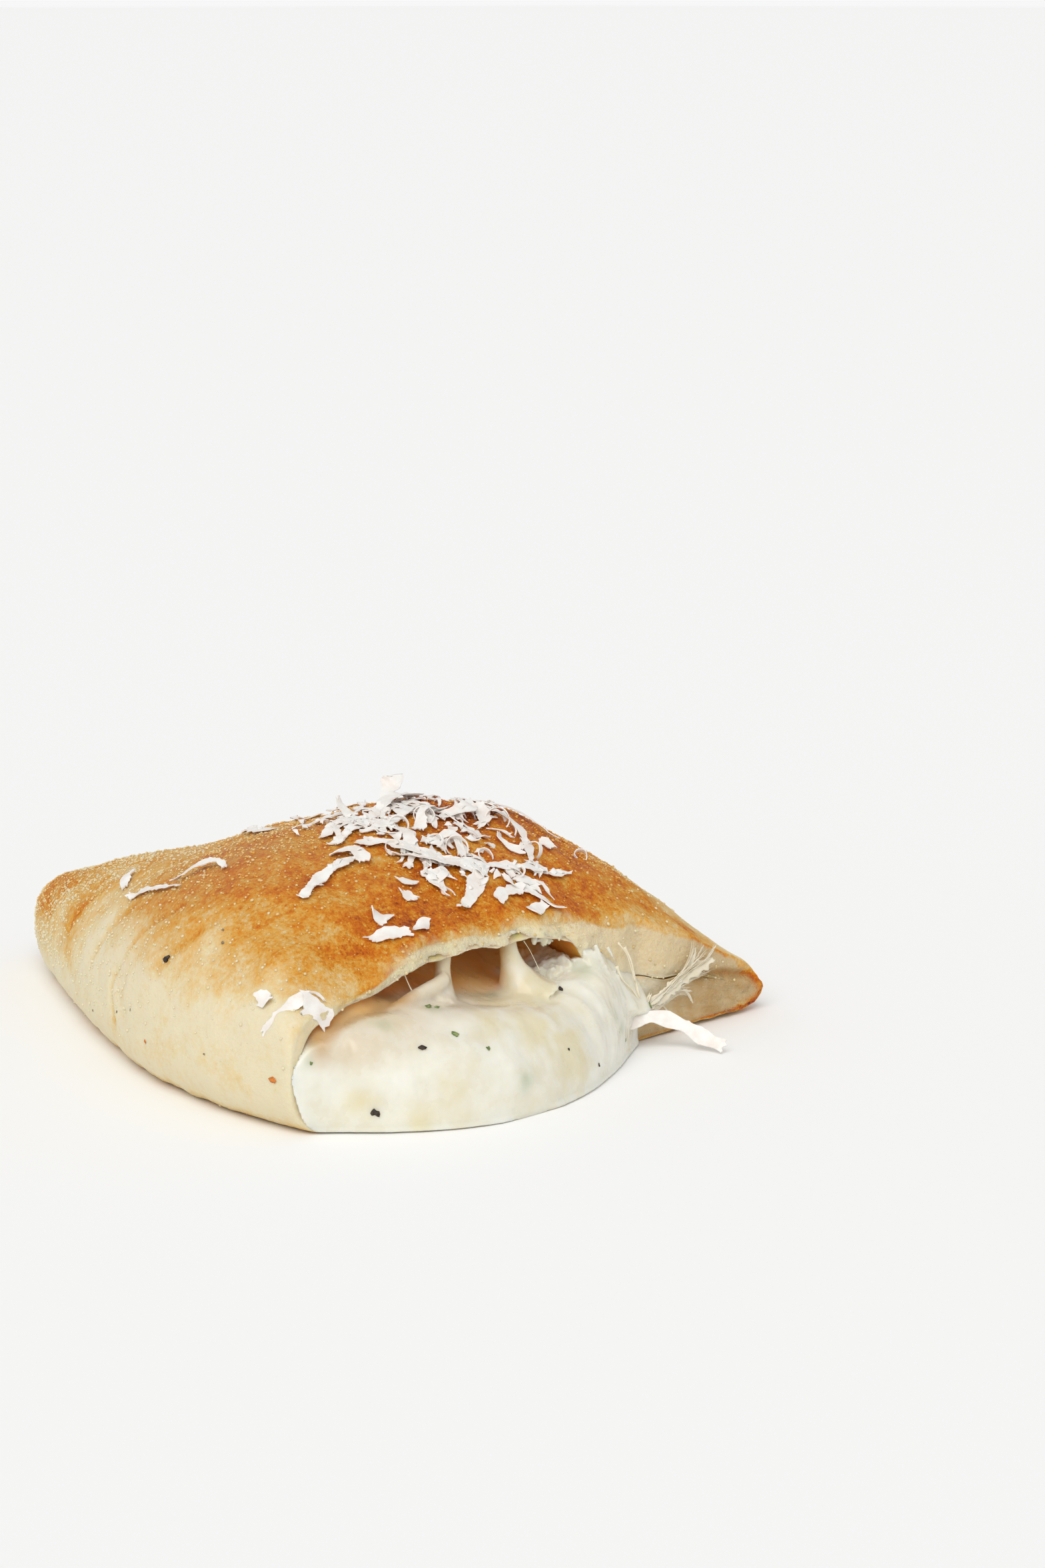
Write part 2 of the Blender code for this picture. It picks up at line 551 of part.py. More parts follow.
def draw_up_pillar(name, pillar, collection):
    """Neck of stretched cheese from the filling up to the roof."""
    x, y, neck, flare_top, flare_foot = pillar
    s = np.linspace(0, 1, PILLAR_RINGS)
    radius = neck + flare_top * s ** PILLAR_TOP_POWER + flare_foot * (1 - s) ** PILLAR_FOOT_POWER
    turn = np.linspace(0, 2 * math.pi, PILLAR_SIDES, endpoint=False)
    px = x + radius[:, None] * np.cos(turn)
    py = y + radius[:, None] * np.sin(turn)
    left, right = hollow(np.array([0.0, 1.0]), y)[0]
    inner_t = (px - left) / (right - left)
    roof = hollow(inner_t, np.maximum(py, 0))[1] - PILLAR_GAP
    foot = curve(FILL_TOP, x) - PILLAR_SUNK
    pz = foot + (roof - foot) * s[:, None]
    points = np.stack([px, py, pz], axis=-1).reshape(-1, 3)
    last = PILLAR_SIDES * (PILLAR_RINGS - 1)
    faces = tube_faces(PILLAR_RINGS, PILLAR_SIDES, False)
    faces.append(tuple(reversed(range(PILLAR_SIDES))))
    faces.append(tuple(range(last, last + PILLAR_SIDES)))
    return add_object(name, points, faces, collection)


def free_strip(name, places, width, steps, facing, thick, collection):
    """Strip through a few places in the air or on the table."""
    places = np.array(places, float)
    along = np.linspace(0, len(places) - 1, steps)
    path = np.stack([curve(list(enumerate(places[:, axis])), along) for axis in range(3)], axis=-1)
    ribbon(name, path, np.tile(facing, (steps, 1)), width * taper(steps), thick, collection)


def fuse(body, pieces):
    """Join every piece to the body in one union, and keep the main body only."""
    join = body.modifiers.new("fused", "BOOLEAN")
    join.operation = "UNION"
    join.operand_type = "COLLECTION"
    join.collection = pieces
    join.solver = "MANIFOLD"
    bpy.context.view_layer.update()
    seen = body.evaluated_get(bpy.context.evaluated_depsgraph_get())
    joined = bpy.data.meshes.new_from_object(seen)
    body.modifiers.clear()
    body.data = joined
    for piece in list(pieces.objects):
        bpy.data.objects.remove(piece, do_unlink=True)
    bpy.data.collections.remove(pieces)
    keep_largest(body.data)


def keep_largest(mesh):
    """Drop loose scraps and sealed hollows: only the largest shell stays."""
    shape = bmesh.new()
    shape.from_mesh(mesh)
    bmesh.ops.remove_doubles(shape, verts=shape.verts, dist=WELD)
    bmesh.ops.triangulate(shape, faces=shape.faces)
    shells, left = [], set(shape.verts)
    while left:
        shell, queue = set(), [left.pop()]
        while queue:
            vert = queue.pop()
            shell.add(vert)
            near = {edge.other_vert(vert) for edge in vert.link_edges} & left
            left -= near
            queue += near
        shells.append(shell)
    shells.sort(key=len)
    loose = [vert for shell in shells[:-1] for vert in shell]
    bmesh.ops.delete(shape, geom=loose, context="VERTS")
    shape.to_mesh(mesh)
    shape.free()


def coat(made, name, colour, roughness):
    """Give a piece its own material."""
    finish = bpy.data.materials.new(name)
    finish.use_nodes = True
    shader = finish.node_tree.nodes["Principled BSDF"]
    shader.inputs["Base Color"].default_value = (*colour, 1)
    shader.inputs["Roughness"].default_value = roughness
    shader.inputs["Metallic"].default_value = 0
    finish.diffuse_color = (*colour, 1)
    made.data.materials.clear()
    made.data.materials.append(finish)


def clear_scene():
    for old in list(bpy.data.objects):
        bpy.data.objects.remove(old, do_unlink=True)


def main():
    clear_scene()
    parts = bpy.data.collections.new("mini_calzone")
    toppings = bpy.data.collections.new("toppings")
    drawn_cheese = bpy.data.collections.new("drawn_cheese")
    for collection in (parts, toppings, drawn_cheese):
        bpy.context.scene.collection.children.link(collection)
    crust = build_crust(parts)
    corners = [vertex.co for vertex in crust.data.vertices]
    skin = BVHTree.FromPolygons(corners, [face.vertices for face in crust.data.polygons])
    for i, shred in enumerate([*SHREDS, *back_shreds()]):
        lay_shred(f"shred_{i}", shred, skin, toppings)
    fuse(crust, toppings)
    filling = build_filling(parts)
    for i, pillar in enumerate(PILLARS):
        draw_up_pillar(f"pillar_{i}", pillar, drawn_cheese)
    for i, tuft in enumerate(TUFTS):
        free_strip(f"tuft_{i}", tuft, TUFT_WIDTH, TUFT_STEPS, TUFT_FACING, TUFT_THICK, drawn_cheese)
    for i, rope in enumerate(ROPES):
        free_strip(f"rope_{i}", rope, ROPE_WIDTH, TUFT_STEPS, TUFT_FACING, ROPE_THICK, drawn_cheese)
    free_strip("table_shred", TABLE_SHRED, TABLE_SHRED_WIDTH, TABLE_SHRED_STEPS, TABLE_SHRED_FACING,
               SHRED_THICK, drawn_cheese)
    fuse(filling, drawn_cheese)
    coat(crust, "baked_dough", CRUST_COLOUR, 0.6)
    coat(filling, "melted_cheese", FILLING_COLOUR, 0.3)


main()
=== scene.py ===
import math
import random

import bmesh
import bpy
import numpy as np
from mathutils import Matrix, Vector, noise
from mathutils.bvhtree import BVHTree


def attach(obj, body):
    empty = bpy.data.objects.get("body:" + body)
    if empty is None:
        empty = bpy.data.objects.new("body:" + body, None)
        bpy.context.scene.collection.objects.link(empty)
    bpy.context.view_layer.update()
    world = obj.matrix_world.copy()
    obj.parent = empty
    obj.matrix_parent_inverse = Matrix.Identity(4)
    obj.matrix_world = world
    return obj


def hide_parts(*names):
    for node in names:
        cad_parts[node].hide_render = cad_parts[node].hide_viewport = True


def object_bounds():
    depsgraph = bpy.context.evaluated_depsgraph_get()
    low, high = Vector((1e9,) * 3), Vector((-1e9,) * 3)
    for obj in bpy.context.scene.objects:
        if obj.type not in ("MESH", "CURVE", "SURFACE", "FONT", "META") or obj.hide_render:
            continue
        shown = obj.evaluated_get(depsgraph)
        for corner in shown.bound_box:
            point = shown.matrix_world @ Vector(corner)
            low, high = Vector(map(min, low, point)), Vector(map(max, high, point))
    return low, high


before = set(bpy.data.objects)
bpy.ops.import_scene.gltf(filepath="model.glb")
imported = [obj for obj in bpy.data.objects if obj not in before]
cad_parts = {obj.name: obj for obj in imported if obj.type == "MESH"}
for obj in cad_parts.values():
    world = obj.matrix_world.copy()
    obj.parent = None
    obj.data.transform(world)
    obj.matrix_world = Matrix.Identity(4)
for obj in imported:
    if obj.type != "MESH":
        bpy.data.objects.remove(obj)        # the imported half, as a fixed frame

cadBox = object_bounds()     # the CAD box
mm = 0.001               # lengths and places below are millimetres unless a note says otherwise


# The dough's outer shape: outline from above, height and ridge along Y, as the CAD solid has them
crust = {
    "length": 91.0, "tipLength": 12.0,
    "foldX": [(0, -1.4), (12, -2.3), (28, -0.6), (44, 4.6), (61, 11.8), (78, 20.2), (91, 26)],
    "sealX": [(0, 83.3), (20, 81), (40, 72.5), (60, 58.5), (76, 42), (91, 34)],
    "height": [(0, 18.7), (5, 22.5), (10, 26), (25, 30.6), (38, 27.8), (50, 23.8), (70, 17.6), (91, 12.2)],
    "ridge": [(0, 0.40), (12, 0.47), (25, 0.54), (60, 0.56), (91, 0.5)],
    "noseHeight": 6.0, "rimHeight": 3.0, "tipHeight": 6.5,
    "underFold": 4.5, "underRim": 3.5, "rimLift": 0.6, "sagged": 12.0,
    "foldWall": 1.2, "bond": 8.0,
    "roof": [(0, 1.3), (0.05, 1.3), (0.13, 1), (0.22, 1.3), (0.31, 1.7), (0.37, 1.4), (0.45, 1.05),
             (0.52, 1.2), (0.62, 1.9), (0.68, 3.5), (1, 4)],
    "roofInside": 2.2, "roofInsideFrom": 12.0,
    "bed": [(0, 2.2), (0.35, 2.8), (0.6, 4), (1, 5)],
    "seam": [(0.5, 9.2), (0.7, 8.4), (1, 6)],
    "crack": 1.3, "crackFrom": 0.62, "crackTo": 0.71, "seamFrom": 0.6, "seamTo": 0.74, "wallRound": 0.07,
    "hollowLength": 83.0, "hollowRound": 8.0, "lipTooth": 0.8,
    # how the roof's edge waves up and down where it was cut, and how far in
    "lipWave": [(-1.4, 0), (3.6, -0.6), (9.5, -1.2), (16.6, 0), (23, 0.8), (28, 0.75), (34, 0), (84, 0)],
    "lipWaveIn": 8.0,
    # the seam between the roof's edge and the bed wanders and is mostly pressed shut
    "seamWander": [(46, 0.2), (54, 0.9), (58.7, 1.2), (63.6, 0.45), (68, 0.85), (72.4, 0.5), (76, 0.2)],
    "seamShut": [(48, 0.5), (55, 0.35), (58, 0.12), (62, 0.08), (64.5, 0.32), (68, 0.06), (72, 0.1),
                 (75, 0.05)],
    # rows of the fine mesh: round the section, over the tip, along the body, across the cut, into the hollow
    "overTop": 220, "underneath": 100, "tipRows": 40, "bodyRows": 208, "cutRows": 22, "hollowRows": 28,
}

# The filling's top at the cut, how it climbs inside, and its run-out over the table
cheese = {
    "gap": 0.3, "filled": 0.70,
    "top": [(1, 10.8), (4, 12), (12, 13.3), (18, 13.4), (25, 12.4), (34, 11.2), (40, 10.6),
            (45, 11.2), (49, 12.2), (53, 10.4), (57, 7.4), (60, 4)],
    "climb": [(-1, 0), (2, 0.25), (5, 1.2), (9, 3), (16, 6.4), (26, 14), (38, 24)],
    # at the fold it climbs to the roof at once; the two ways of climbing blend between these X
    "climbAtFold": [(-1, 0), (0.5, 0.5), (2, 1.9), (4, 3.4), (8, 6), (38, 24)], "climbBlend": (10, 18),
    "out": 13.5, "middle": 26.0, "left": 26.0, "right": 33.6, "leftPower": 1.1, "rightPower": 1.25,
    "full": 2.5, "blend": 1.5, "foot": 0.8, "footAtWall": 5.5, "round": 0.9, "roundAtWall": 2.2,
}

# The frame's origin in the design's own millimetres, from the CAD box
centreX = min(x for _, x in crust["foldX"]) - cadBox[0].x / mm
centreY = -cheese["out"] - cadBox[0].y / mm


def ease(low, high, value):
    t = np.clip((value - low) / (high - low), 0, 1)
    return t * t * (3 - 2 * t)


def through(points, at):
    # a smooth curve through the points that never overshoots them
    xs, ys = np.array(points, float).T
    step = np.diff(xs)
    slope = np.diff(ys) / step
    tangent = np.zeros_like(ys)
    tangent[0], tangent[-1] = slope[0], slope[-1]
    same = slope[:-1] * slope[1:] > 0
    tangent[1:-1] = np.where(same, 2 * slope[:-1] * slope[1:] / np.where(same, slope[:-1] + slope[1:], 1), 0)
    at = np.clip(at, xs[0], xs[-1])
    i = np.clip(np.searchsorted(xs, at) - 1, 0, len(xs) - 2)
    t = (at - xs[i]) / step[i]
    return ((1 + 2 * t) * (1 - t) ** 2 * ys[i] + t * (1 - t) ** 2 * step[i] * tangent[i]
            + t * t * (3 - 2 * t) * ys[i + 1] + t * t * (t - 1) * step[i] * tangent[i + 1])


def quarterRound(t):
    return 1 - np.sqrt(np.clip(1 - np.clip(1 - t, 0, 1) ** 2, 0, 1))


def fade(low, high, value):
    return 1 - ease(low, high, value)


def band(rise, full, fall, end, value):
    # 1 between full and fall, easing to 0 at rise and at end: mostly places in millimetres
    return ease(rise, full, value) * fade(fall, end, value)


def bell(distance, width):
    return np.exp(-(distance / width) ** 2)


def closingTo(y, end, rounding):
    # 1 along the body, falling to 0 in a quarter round where the form ends
    past = np.clip(y - end + rounding, 0, None) / rounding
    return np.sqrt(np.clip(1 - past ** 2, 0, 1))


def foldAndSeal(y):
    fold, seal = through(crust["foldX"], y), through(crust["sealX"], y)
    closing = closingTo(y, crust["length"], crust["tipLength"])
    middle, half = (fold + seal) / 2, (seal - fold) / 2 * closing
    return middle - half, middle + half, closing


def swells(x, y):
    # slow swells of the skin, and a fan of creases near the tip
    swell = (0.30 * np.sin(x * 0.31 + 1.2) * np.sin(y * 0.24 + 0.6)
             + 0.18 * np.sin(x * 0.62 + y * 0.35 + 2.0))
    fan = np.sin((x - 20) * 0.55 + (y - 70) * 0.16)
    crease = -0.45 * bell(fan - 0.9, 0.16)
    return swell + crease * band(52, 62, 80, 88, y)


def crustTop(t, y):
    height, ridge = through(crust["height"], y), through(crust["ridge"], y)
    sag = fade(0, crust["sagged"], y)
    end = crust["noseHeight"] + (crust["rimHeight"] - crust["noseHeight"]) * t
    # full and sagging at the cut, rounder further in
    rise = (1 - np.clip(1 - t / ridge, 0, 1) ** (3 - 1.4 * sag)) ** (1 / (2.4 + 2.6 * sag))
    fall = (1 - np.clip((t - ridge) / (1 - ridge), 0, 1) ** 2) ** (0.66 + 0.05 * sag)
    z = end + (height - end) * np.where(t < ridge, rise, fall)
    fold, seal, closing = foldAndSeal(y)
    x = fold + (seal - fold) * t
    z = z + swells(x, y) * np.clip((z - end) / 6, 0, 1)
    z = z + through(crust["lipWave"], x) * fade(0, crust["lipWaveIn"], y)
    return crust["tipHeight"] * (1 - closing) + z * closing


def crustBase(t, y):
    fold, seal, closing = foldAndSeal(y)
    width = np.maximum(seal - fold, 0.1)
    atFold = crust["noseHeight"] * quarterRound(t * width / np.minimum(crust["underFold"], width * 0.45))
    atRim = (crust["rimHeight"] - crust["rimLift"]) * quarterRound(
        (1 - t) * width / np.minimum(crust["underRim"], width * 0.45))
    z = atFold + atRim + crust["rimLift"] * ease(0.66, 0.93, t)
    return crust["tipHeight"] * (1 - closing) + z * closing


def topHeight(x, y):
    fold, seal, _ = foldAndSeal(y)
    return crustTop(np.clip((x - fold) / (seal - fold), 0.001, 0.999), y)


def roofUnder(x, t, y):
    # underside of the roof, which is thicker past the mouth
    inside = crust["roofInside"] * ease(0, crust["roofInsideFrom"], y)
    return topHeight(x, y) - through(crust["roof"], t) - inside


def hollow(t, y):
    fold, seal, _ = foldAndSeal(y)
    closing = closingTo(y, crust["hollowLength"], crust["hollowRound"])
    left, right = fold + crust["foldWall"], seal - crust["bond"]
    x = (left + right) / 2 + (right - left) * (t - 0.5) * closing
    bed, roof = through(crust["bed"], t), roofUnder(x, t, y)
    seam = np.minimum(through(crust["seam"], t), (roof + bed) / 2)
    # the open crack between the layers closes to a point at the sealed end
    openHalf = crust["crack"] / 2 * np.clip((1 - t) / 0.2, 0, 1)
    toCrack = ease(crust["crackFrom"], crust["crackTo"], t)
    upper = roof * (1 - toCrack) + (seam + openHalf) * toCrack
    lower = bed * (1 - toCrack) + (seam - openHalf) * toCrack
    middle = (upper + lower) / 2
    room = (1 - quarterRound(t / crust["wallRound"])) * closing
    return x, middle + (upper - middle) * room, middle + (lower - middle) * room


def pressedHollow(t, y):
    x, upper, lower = hollow(t, y)
    inSeam = ease(crust["seamFrom"], crust["seamTo"], t)
    middle = (upper + lower) / 2
    shut = 1 - inSeam * (1 - through(crust["seamShut"], x))
    wander = through(crust["seamWander"], x) * inSeam
    return x, middle + (upper - middle) * shut + wander, middle + (lower - middle) * shut + wander


def lipLine(x):
    teeth = 0.5 + 0.25 * np.sin(x * 0.87) + 0.25 * np.sin(x * 0.53 + 1.7)
    return crust["lipTooth"] * teeth * band(0, 5, 58, 70, x)


def lowest(a, b, blend):
    h = np.clip(blend - np.abs(a - b), 0, None) / blend
    return np.minimum(a, b) - h * h * blend / 4


def evenSteps(shape, high, count):
    # places from 0 to high whose points lie evenly along the section
    t = high * (1 - np.cos(np.linspace(0, math.pi, 500))) / 2
    x, z = shape(t)
    arc = np.concatenate([[0], np.cumsum(np.hypot(np.diff(x), np.diff(z)))])
    return np.interp(np.linspace(0, arc[-1], count), arc, t)


def sectionRing(topShape, baseShape, high, overTop, underneath):
    # a closed section: over the top from the seal to the fold, then back underneath
    top = evenSteps(topShape, high, overTop + 1)[::-1]
    base = evenSteps(baseShape, high, underneath + 1)[1:-1]
    topX, topZ = topShape(top)
    baseX, baseZ = baseShape(base)
    return np.concatenate([topX, baseX]), np.concatenate([topZ, baseZ])


def asRow(ring, y):
    x, z = ring
    return np.stack([x, np.full_like(x, y), z], axis=-1)


def toFrame(points):
    return (np.asarray(points, float) - (centreX, centreY, 0)) * mm


def toDesign(points):
    return np.asarray(points, float) / mm + (centreX, centreY, 0)


def selectOnly(*pieces):
    bpy.ops.object.select_all(action="DESELECT")
    for piece in pieces:
        piece.select_set(True)
    if pieces:
        bpy.context.view_layer.objects.active = pieces[0]


def ballOfRows(name, rows):
    # a ball primitive whose rings take the given rows: pole, closed sections, pole
    around, along = len(rows[1]), len(rows) - 1
    selectOnly()
    bpy.ops.mesh.primitive_uv_sphere_add(segments=around, ring_count=along, radius=1)
    made = bpy.context.object
    made.name = made.data.name = name
    was = readPoints(made)
    row = np.rint(np.arccos(np.clip(was[:, 2], -1, 1)) / math.pi * along).astype(int)
    turn = np.rint(np.arctan2(was[:, 1], was[:, 0]) / (2 * math.pi) * around).astype(int)
    grid = np.stack([np.broadcast_to(r, (around, 3)) for r in rows])
    turn = -turn % around
    writePoints(made, toFrame(grid[row, turn]))
    return made, row, turn


def readLayer(rows, key, width=3):
    flat = np.empty(len(rows) * width)
    rows.foreach_get(key, flat)
    return flat.reshape(-1, width)


def readPoints(made):
    return readLayer(made.data.vertices, "co")


def readNormals(made):
    return readLayer(made.data.vertex_normals, "vector")


def readValue(made, name):
    return readLayer(made.data.attributes[name].data, "value", 1)[:, 0]


def writePoints(made, points):
    made.data.vertices.foreach_set("co", np.ascontiguousarray(points).ravel())
    made.data.update()


def writeValues(made, **layers):
    # numbers that the mesh carries to its material, one for each point
    for name, values in layers.items():
        values = np.broadcast_to(values, len(made.data.vertices))
        layer = made.data.attributes.new(name, "FLOAT", "POINT")
        layer.data.foreach_set("value", np.ascontiguousarray(values, dtype=np.float32))


def roughField(points, size, seed, octaves=1):
    # smooth random values round 0, with swells of about the given size in millimetres
    shift = Vector((seed * 17.3, seed * 5.1, seed * 9.7))
    if octaves == 1:
        return np.array([noise.noise(Vector(p) + shift) for p in points / size])
    return np.array([noise.fractal(Vector(p) + shift, 0.8, 2.1, octaves) for p in points / size])


def relief(points, height, size, seed, octaves=1):
    return height * roughField(points, size, seed, octaves)


def distanceToPath(points, path):
    path = np.array(path, float)
    nearest = np.full(len(points), 1e9)
    for a, b in zip(path[:-1], path[1:]):
        along = np.clip((points - a) @ (b - a) / max((b - a) @ (b - a), 1e-9), 0, 1)
        nearest = np.minimum(nearest, np.linalg.norm(points - a - along[:, None] * (b - a), axis=1))
    return nearest


def smoothPath(places, steps):
    places = np.array(places, float)
    along = np.linspace(0, len(places) - 1, steps)
    return np.stack([through(list(enumerate(places[:, axis])), along) for axis in range(3)], axis=-1)


def finished(made):
    # nothing shown reaches past the CAD box, and faces are shaded smooth
    writePoints(made, np.clip(readPoints(made), *np.array(cadBox)))
    for face in made.data.polygons:
        face.use_smooth = True
    return made


def applyModifier(made, kind, **settings):
    selectOnly(made)
    modifier = made.modifiers.new(kind.lower(), kind)
    for key, value in settings.items():
        setattr(modifier, key, value)
    bpy.ops.object.modifier_apply(modifier=modifier.name)


def joinPieces(pieces, name):
    selectOnly(*pieces)
    bpy.ops.object.join()
    made = bpy.context.object
    made.name = made.data.name = name
    return made


def linear(hexColour):
    parts = [int(hexColour[i:i + 2], 16) / 255 for i in (1, 3, 5)]
    return (*[c / 12.92 if c <= 0.04045 else ((c + 0.055) / 1.055) ** 2.4 for c in parts], 1)


def feed(tree, node, inputs):
    # an input is linked to a socket, or set to a number or to a colour given as hex
    for key, value in inputs.items():
        if isinstance(value, bpy.types.NodeSocket):
            tree.links.new(value, node.inputs[key])
        else:
            node.inputs[key].default_value = linear(value) if isinstance(value, str) else value


def addNode(tree, kind, *inputs, output=0, stops=(), **settings):
    # one node with its settings and links; inputs come in order, or in one dictionary by name or number
    node = tree.nodes.new("ShaderNode" + kind)
    for key, value in settings.items():
        setattr(node, key, value)
    feed(tree, node, inputs[0] if inputs and isinstance(inputs[0], dict) else dict(enumerate(inputs)))
    if stops:
        # a new ramp has two stops, which take the first and the last colour
        elements = node.color_ramp.elements
        for k in (0, -1):
            elements[k].position, elements[k].color = stops[k][0], linear(stops[k][1])
        for at, colour in stops[1:-1]:
            elements.new(at).color = linear(colour)
    return node.outputs[output]


colourMix = {"data_type": "RGBA", "output": 2}    # a Mix node that mixes colours, in its inputs 6 and 7


def newMaterial(name):
    material = bpy.data.materials.new(name)
    material.use_nodes = True
    tree = material.node_tree
    return material, tree, tree.nodes["Principled BSDF"], addNode(tree, "TexCoord", output="Object")


def perMetre(size):
    # texture scale for a pattern whose features repeat every so many millimetres
    return 1 / (size * mm)


# Baked wheat dough, hand folded: matt and floury where pale, slightly oily where browned; the cut shows
# soft crumb
doughLooks = {
    "browning": [(0.0, "#e6dab9"), (0.1, "#e4cd9c"), (0.22, "#e2bb7a"), (0.34, "#e0a84c"), (0.46, "#dc8f22"),
                 (0.58, "#d27408"), (0.7, "#c26006"), (0.82, "#a34806"), (1.0, "#642a04")],
    "crumb": [(0.25, "#e2c792"), (0.45, "#eedcb5"), (1.0, "#eedcb5")],
    "toasted": "#bf9c68", "cave": ("#ffc05c", "#f0a03a"), "dusty": "#bd8a68", "film": "#e9e0c6",
    # blotches, smaller patches, fine grain and pores: size in millimetres, detail and roughness
    "noise": [(3.4, 4, 0.6), (1.25, 2, 0.5), (0.55, 3, 0.65), (0.8, 5, 0.7)],
    # how far blotches, patches and grain change the browning, and the least that the grain does
    "power": (0.62, 0.42, 1.1), "leastGrain": 0.1,
    # from which browning to which the blotches, the roughness and the grit change, and from what to what
    "blotched": (0.03, 0.4, 0.3, 1), "roughness": (0.2, 0.9, 0.64, 0.4), "gritty": (0.05, 0.4, 0.3, 1),
    # how strong the flour dust is, and the least strength of toasting and film where their pattern is weakest
    "dustPower": 0.4, "leastToast": 0.45, "leastFilm": 0.4,
    # light inside the dough, in the skin and in the hollow's roof: share, and reach in millimetres
    "scatter": (0.35, 0.95), "reach": (1.8, 4.5),
    # semolina dots: spacing, reach of the pale ones, reach and share of the dark ones, strength
    "speck": 0.62, "dots": (0.42, 0.3, 0.22, 0.2),
    # heights of the dots, the pores and the grain, and the height of the whole bump in millimetres
    "heights": (0.5, 0.5, 0.9), "bump": 0.55,
}


def bakedDough():
    looks = doughLooks
    material, tree, shader, place = newMaterial("bakedDough")
    browning, crumb, cave, dusty, toasted, film = (
        addNode(tree, "Attribute", output="Fac", attribute_name=key)
        for key in ("browning", "crumb", "cave", "dusty", "toasted", "film"))
    mottle, patchy, grain, pore = (
        addNode(tree, "TexNoise", {"Vector": place, "Scale": perMetre(size), "Detail": detail,
                                   "Roughness": rough}) for size, detail, rough in looks["noise"])
    fromSpeck = addNode(tree, "TexVoronoi", {"Vector": place, "Scale": perMetre(looks["speck"])})
    chosen = addNode(tree, "SeparateColor", fromSpeck.node.outputs["Color"])

    # blotches over the slow change that the mesh carries, and a fine grain where it browned
    blotches, patches, grains = (
        addNode(tree, "Math", noisy, power, -power / 2, operation="MULTIPLY_ADD")
        for noisy, power in zip((mottle, patchy, grain), looks["power"]))
    baked = addNode(tree, "MapRange", browning, *looks["blotched"])
    uneven = addNode(tree, "Math", blotches, patches)
    slow = addNode(tree, "Math", uneven, baked, browning, operation="MULTIPLY_ADD")
    # semolina dots: some paler than the skin, a few scorched darker
    paleReach, darkReach, darkShare, dotPower = looks["dots"]
    paleSize = addNode(tree, "Math", chosen, paleReach, operation="MULTIPLY")
    paleDot, nearDark, isDark = (
        addNode(tree, "Math", measure, limit, operation="LESS_THAN")
        for measure, limit in ((fromSpeck, paleSize), (fromSpeck, darkReach), (chosen, darkShare)))
    darkDot = addNode(tree, "Math", nearDark, isDark, operation="MULTIPLY")
    dots = addNode(tree, "Math", darkDot, paleDot, operation="SUBTRACT")
    fine = addNode(tree, "Math", dots, dotPower, grains, operation="MULTIPLY_ADD")
    strong = addNode(tree, "Math", browning, looks["leastGrain"])
    browned = addNode(tree, "Math", fine, strong, slow, operation="MULTIPLY_ADD", use_clamp=True)

    # uneven toasting of the crumb with painted shade in the seam's crease, and a thin film of cheese dried
    # onto the cut dough
    toastAndShadeShare, filmShare = (
        addNode(tree, "Math", share, addNode(tree, "Math", noisy, least), operation="MULTIPLY",
                use_clamp=True)
        for share, noisy, least in ((toasted, mottle, looks["leastToast"]),
                                    (film, patchy, looks["leastFilm"])))
    dustShare = addNode(tree, "Math", dusty, looks["dustPower"], operation="MULTIPLY")
    porous = addNode(tree, "ValToRGB", pore, stops=looks["crumb"])
    cutColour = addNode(tree, "Mix", {0: toastAndShadeShare, 6: porous, 7: looks["toasted"]}, **colourMix)
    # in the hollow the dough is painted orange: painted glow of light through the thin roof
    caveGlowColour = addNode(tree, "Mix", {0: mottle, 6: looks["cave"][0], 7: looks["cave"][1]}, **colourMix)
    colour = addNode(tree, "ValToRGB", browned, stops=looks["browning"])
    for share, layer in ((dustShare, looks["dusty"]), (crumb, cutColour), (filmShare, looks["film"]),
                         (cave, caveGlowColour)):
        colour = addNode(tree, "Mix", {0: share, 6: colour, 7: layer}, **colourMix)

    raised = 0
    for part, height in zip((paleDot, pore, grain), looks["heights"]):
        raised = addNode(tree, "Math", part, height, raised, operation="MULTIPLY_ADD")
    # smooth where the dough stayed pale, gritty where the oven reached it
    gritty = addNode(tree, "MapRange", browning, *looks["gritty"])
    bump = addNode(tree, "Bump", {"Height": raised, "Strength": gritty, "Distance": looks["bump"] * mm})
    feed(tree, shader, {
        "Base Color": colour, "Roughness": addNode(tree, "MapRange", browned, *looks["roughness"]),
        "IOR": 1.45, "Specular IOR Level": 0.3, "Subsurface Radius": (1.0, 0.55, 0.25), "Normal": bump,
        # the thin roof lets light through into the hollow, where the dough's orange colour is painted glow
        "Subsurface Weight": addNode(tree, "MapRange", cave, 0, 1, *looks["scatter"]),
        "Subsurface Scale": addNode(tree, "MapRange", cave, 0, 1, *(far * mm for far in looks["reach"])),
    })
    return material


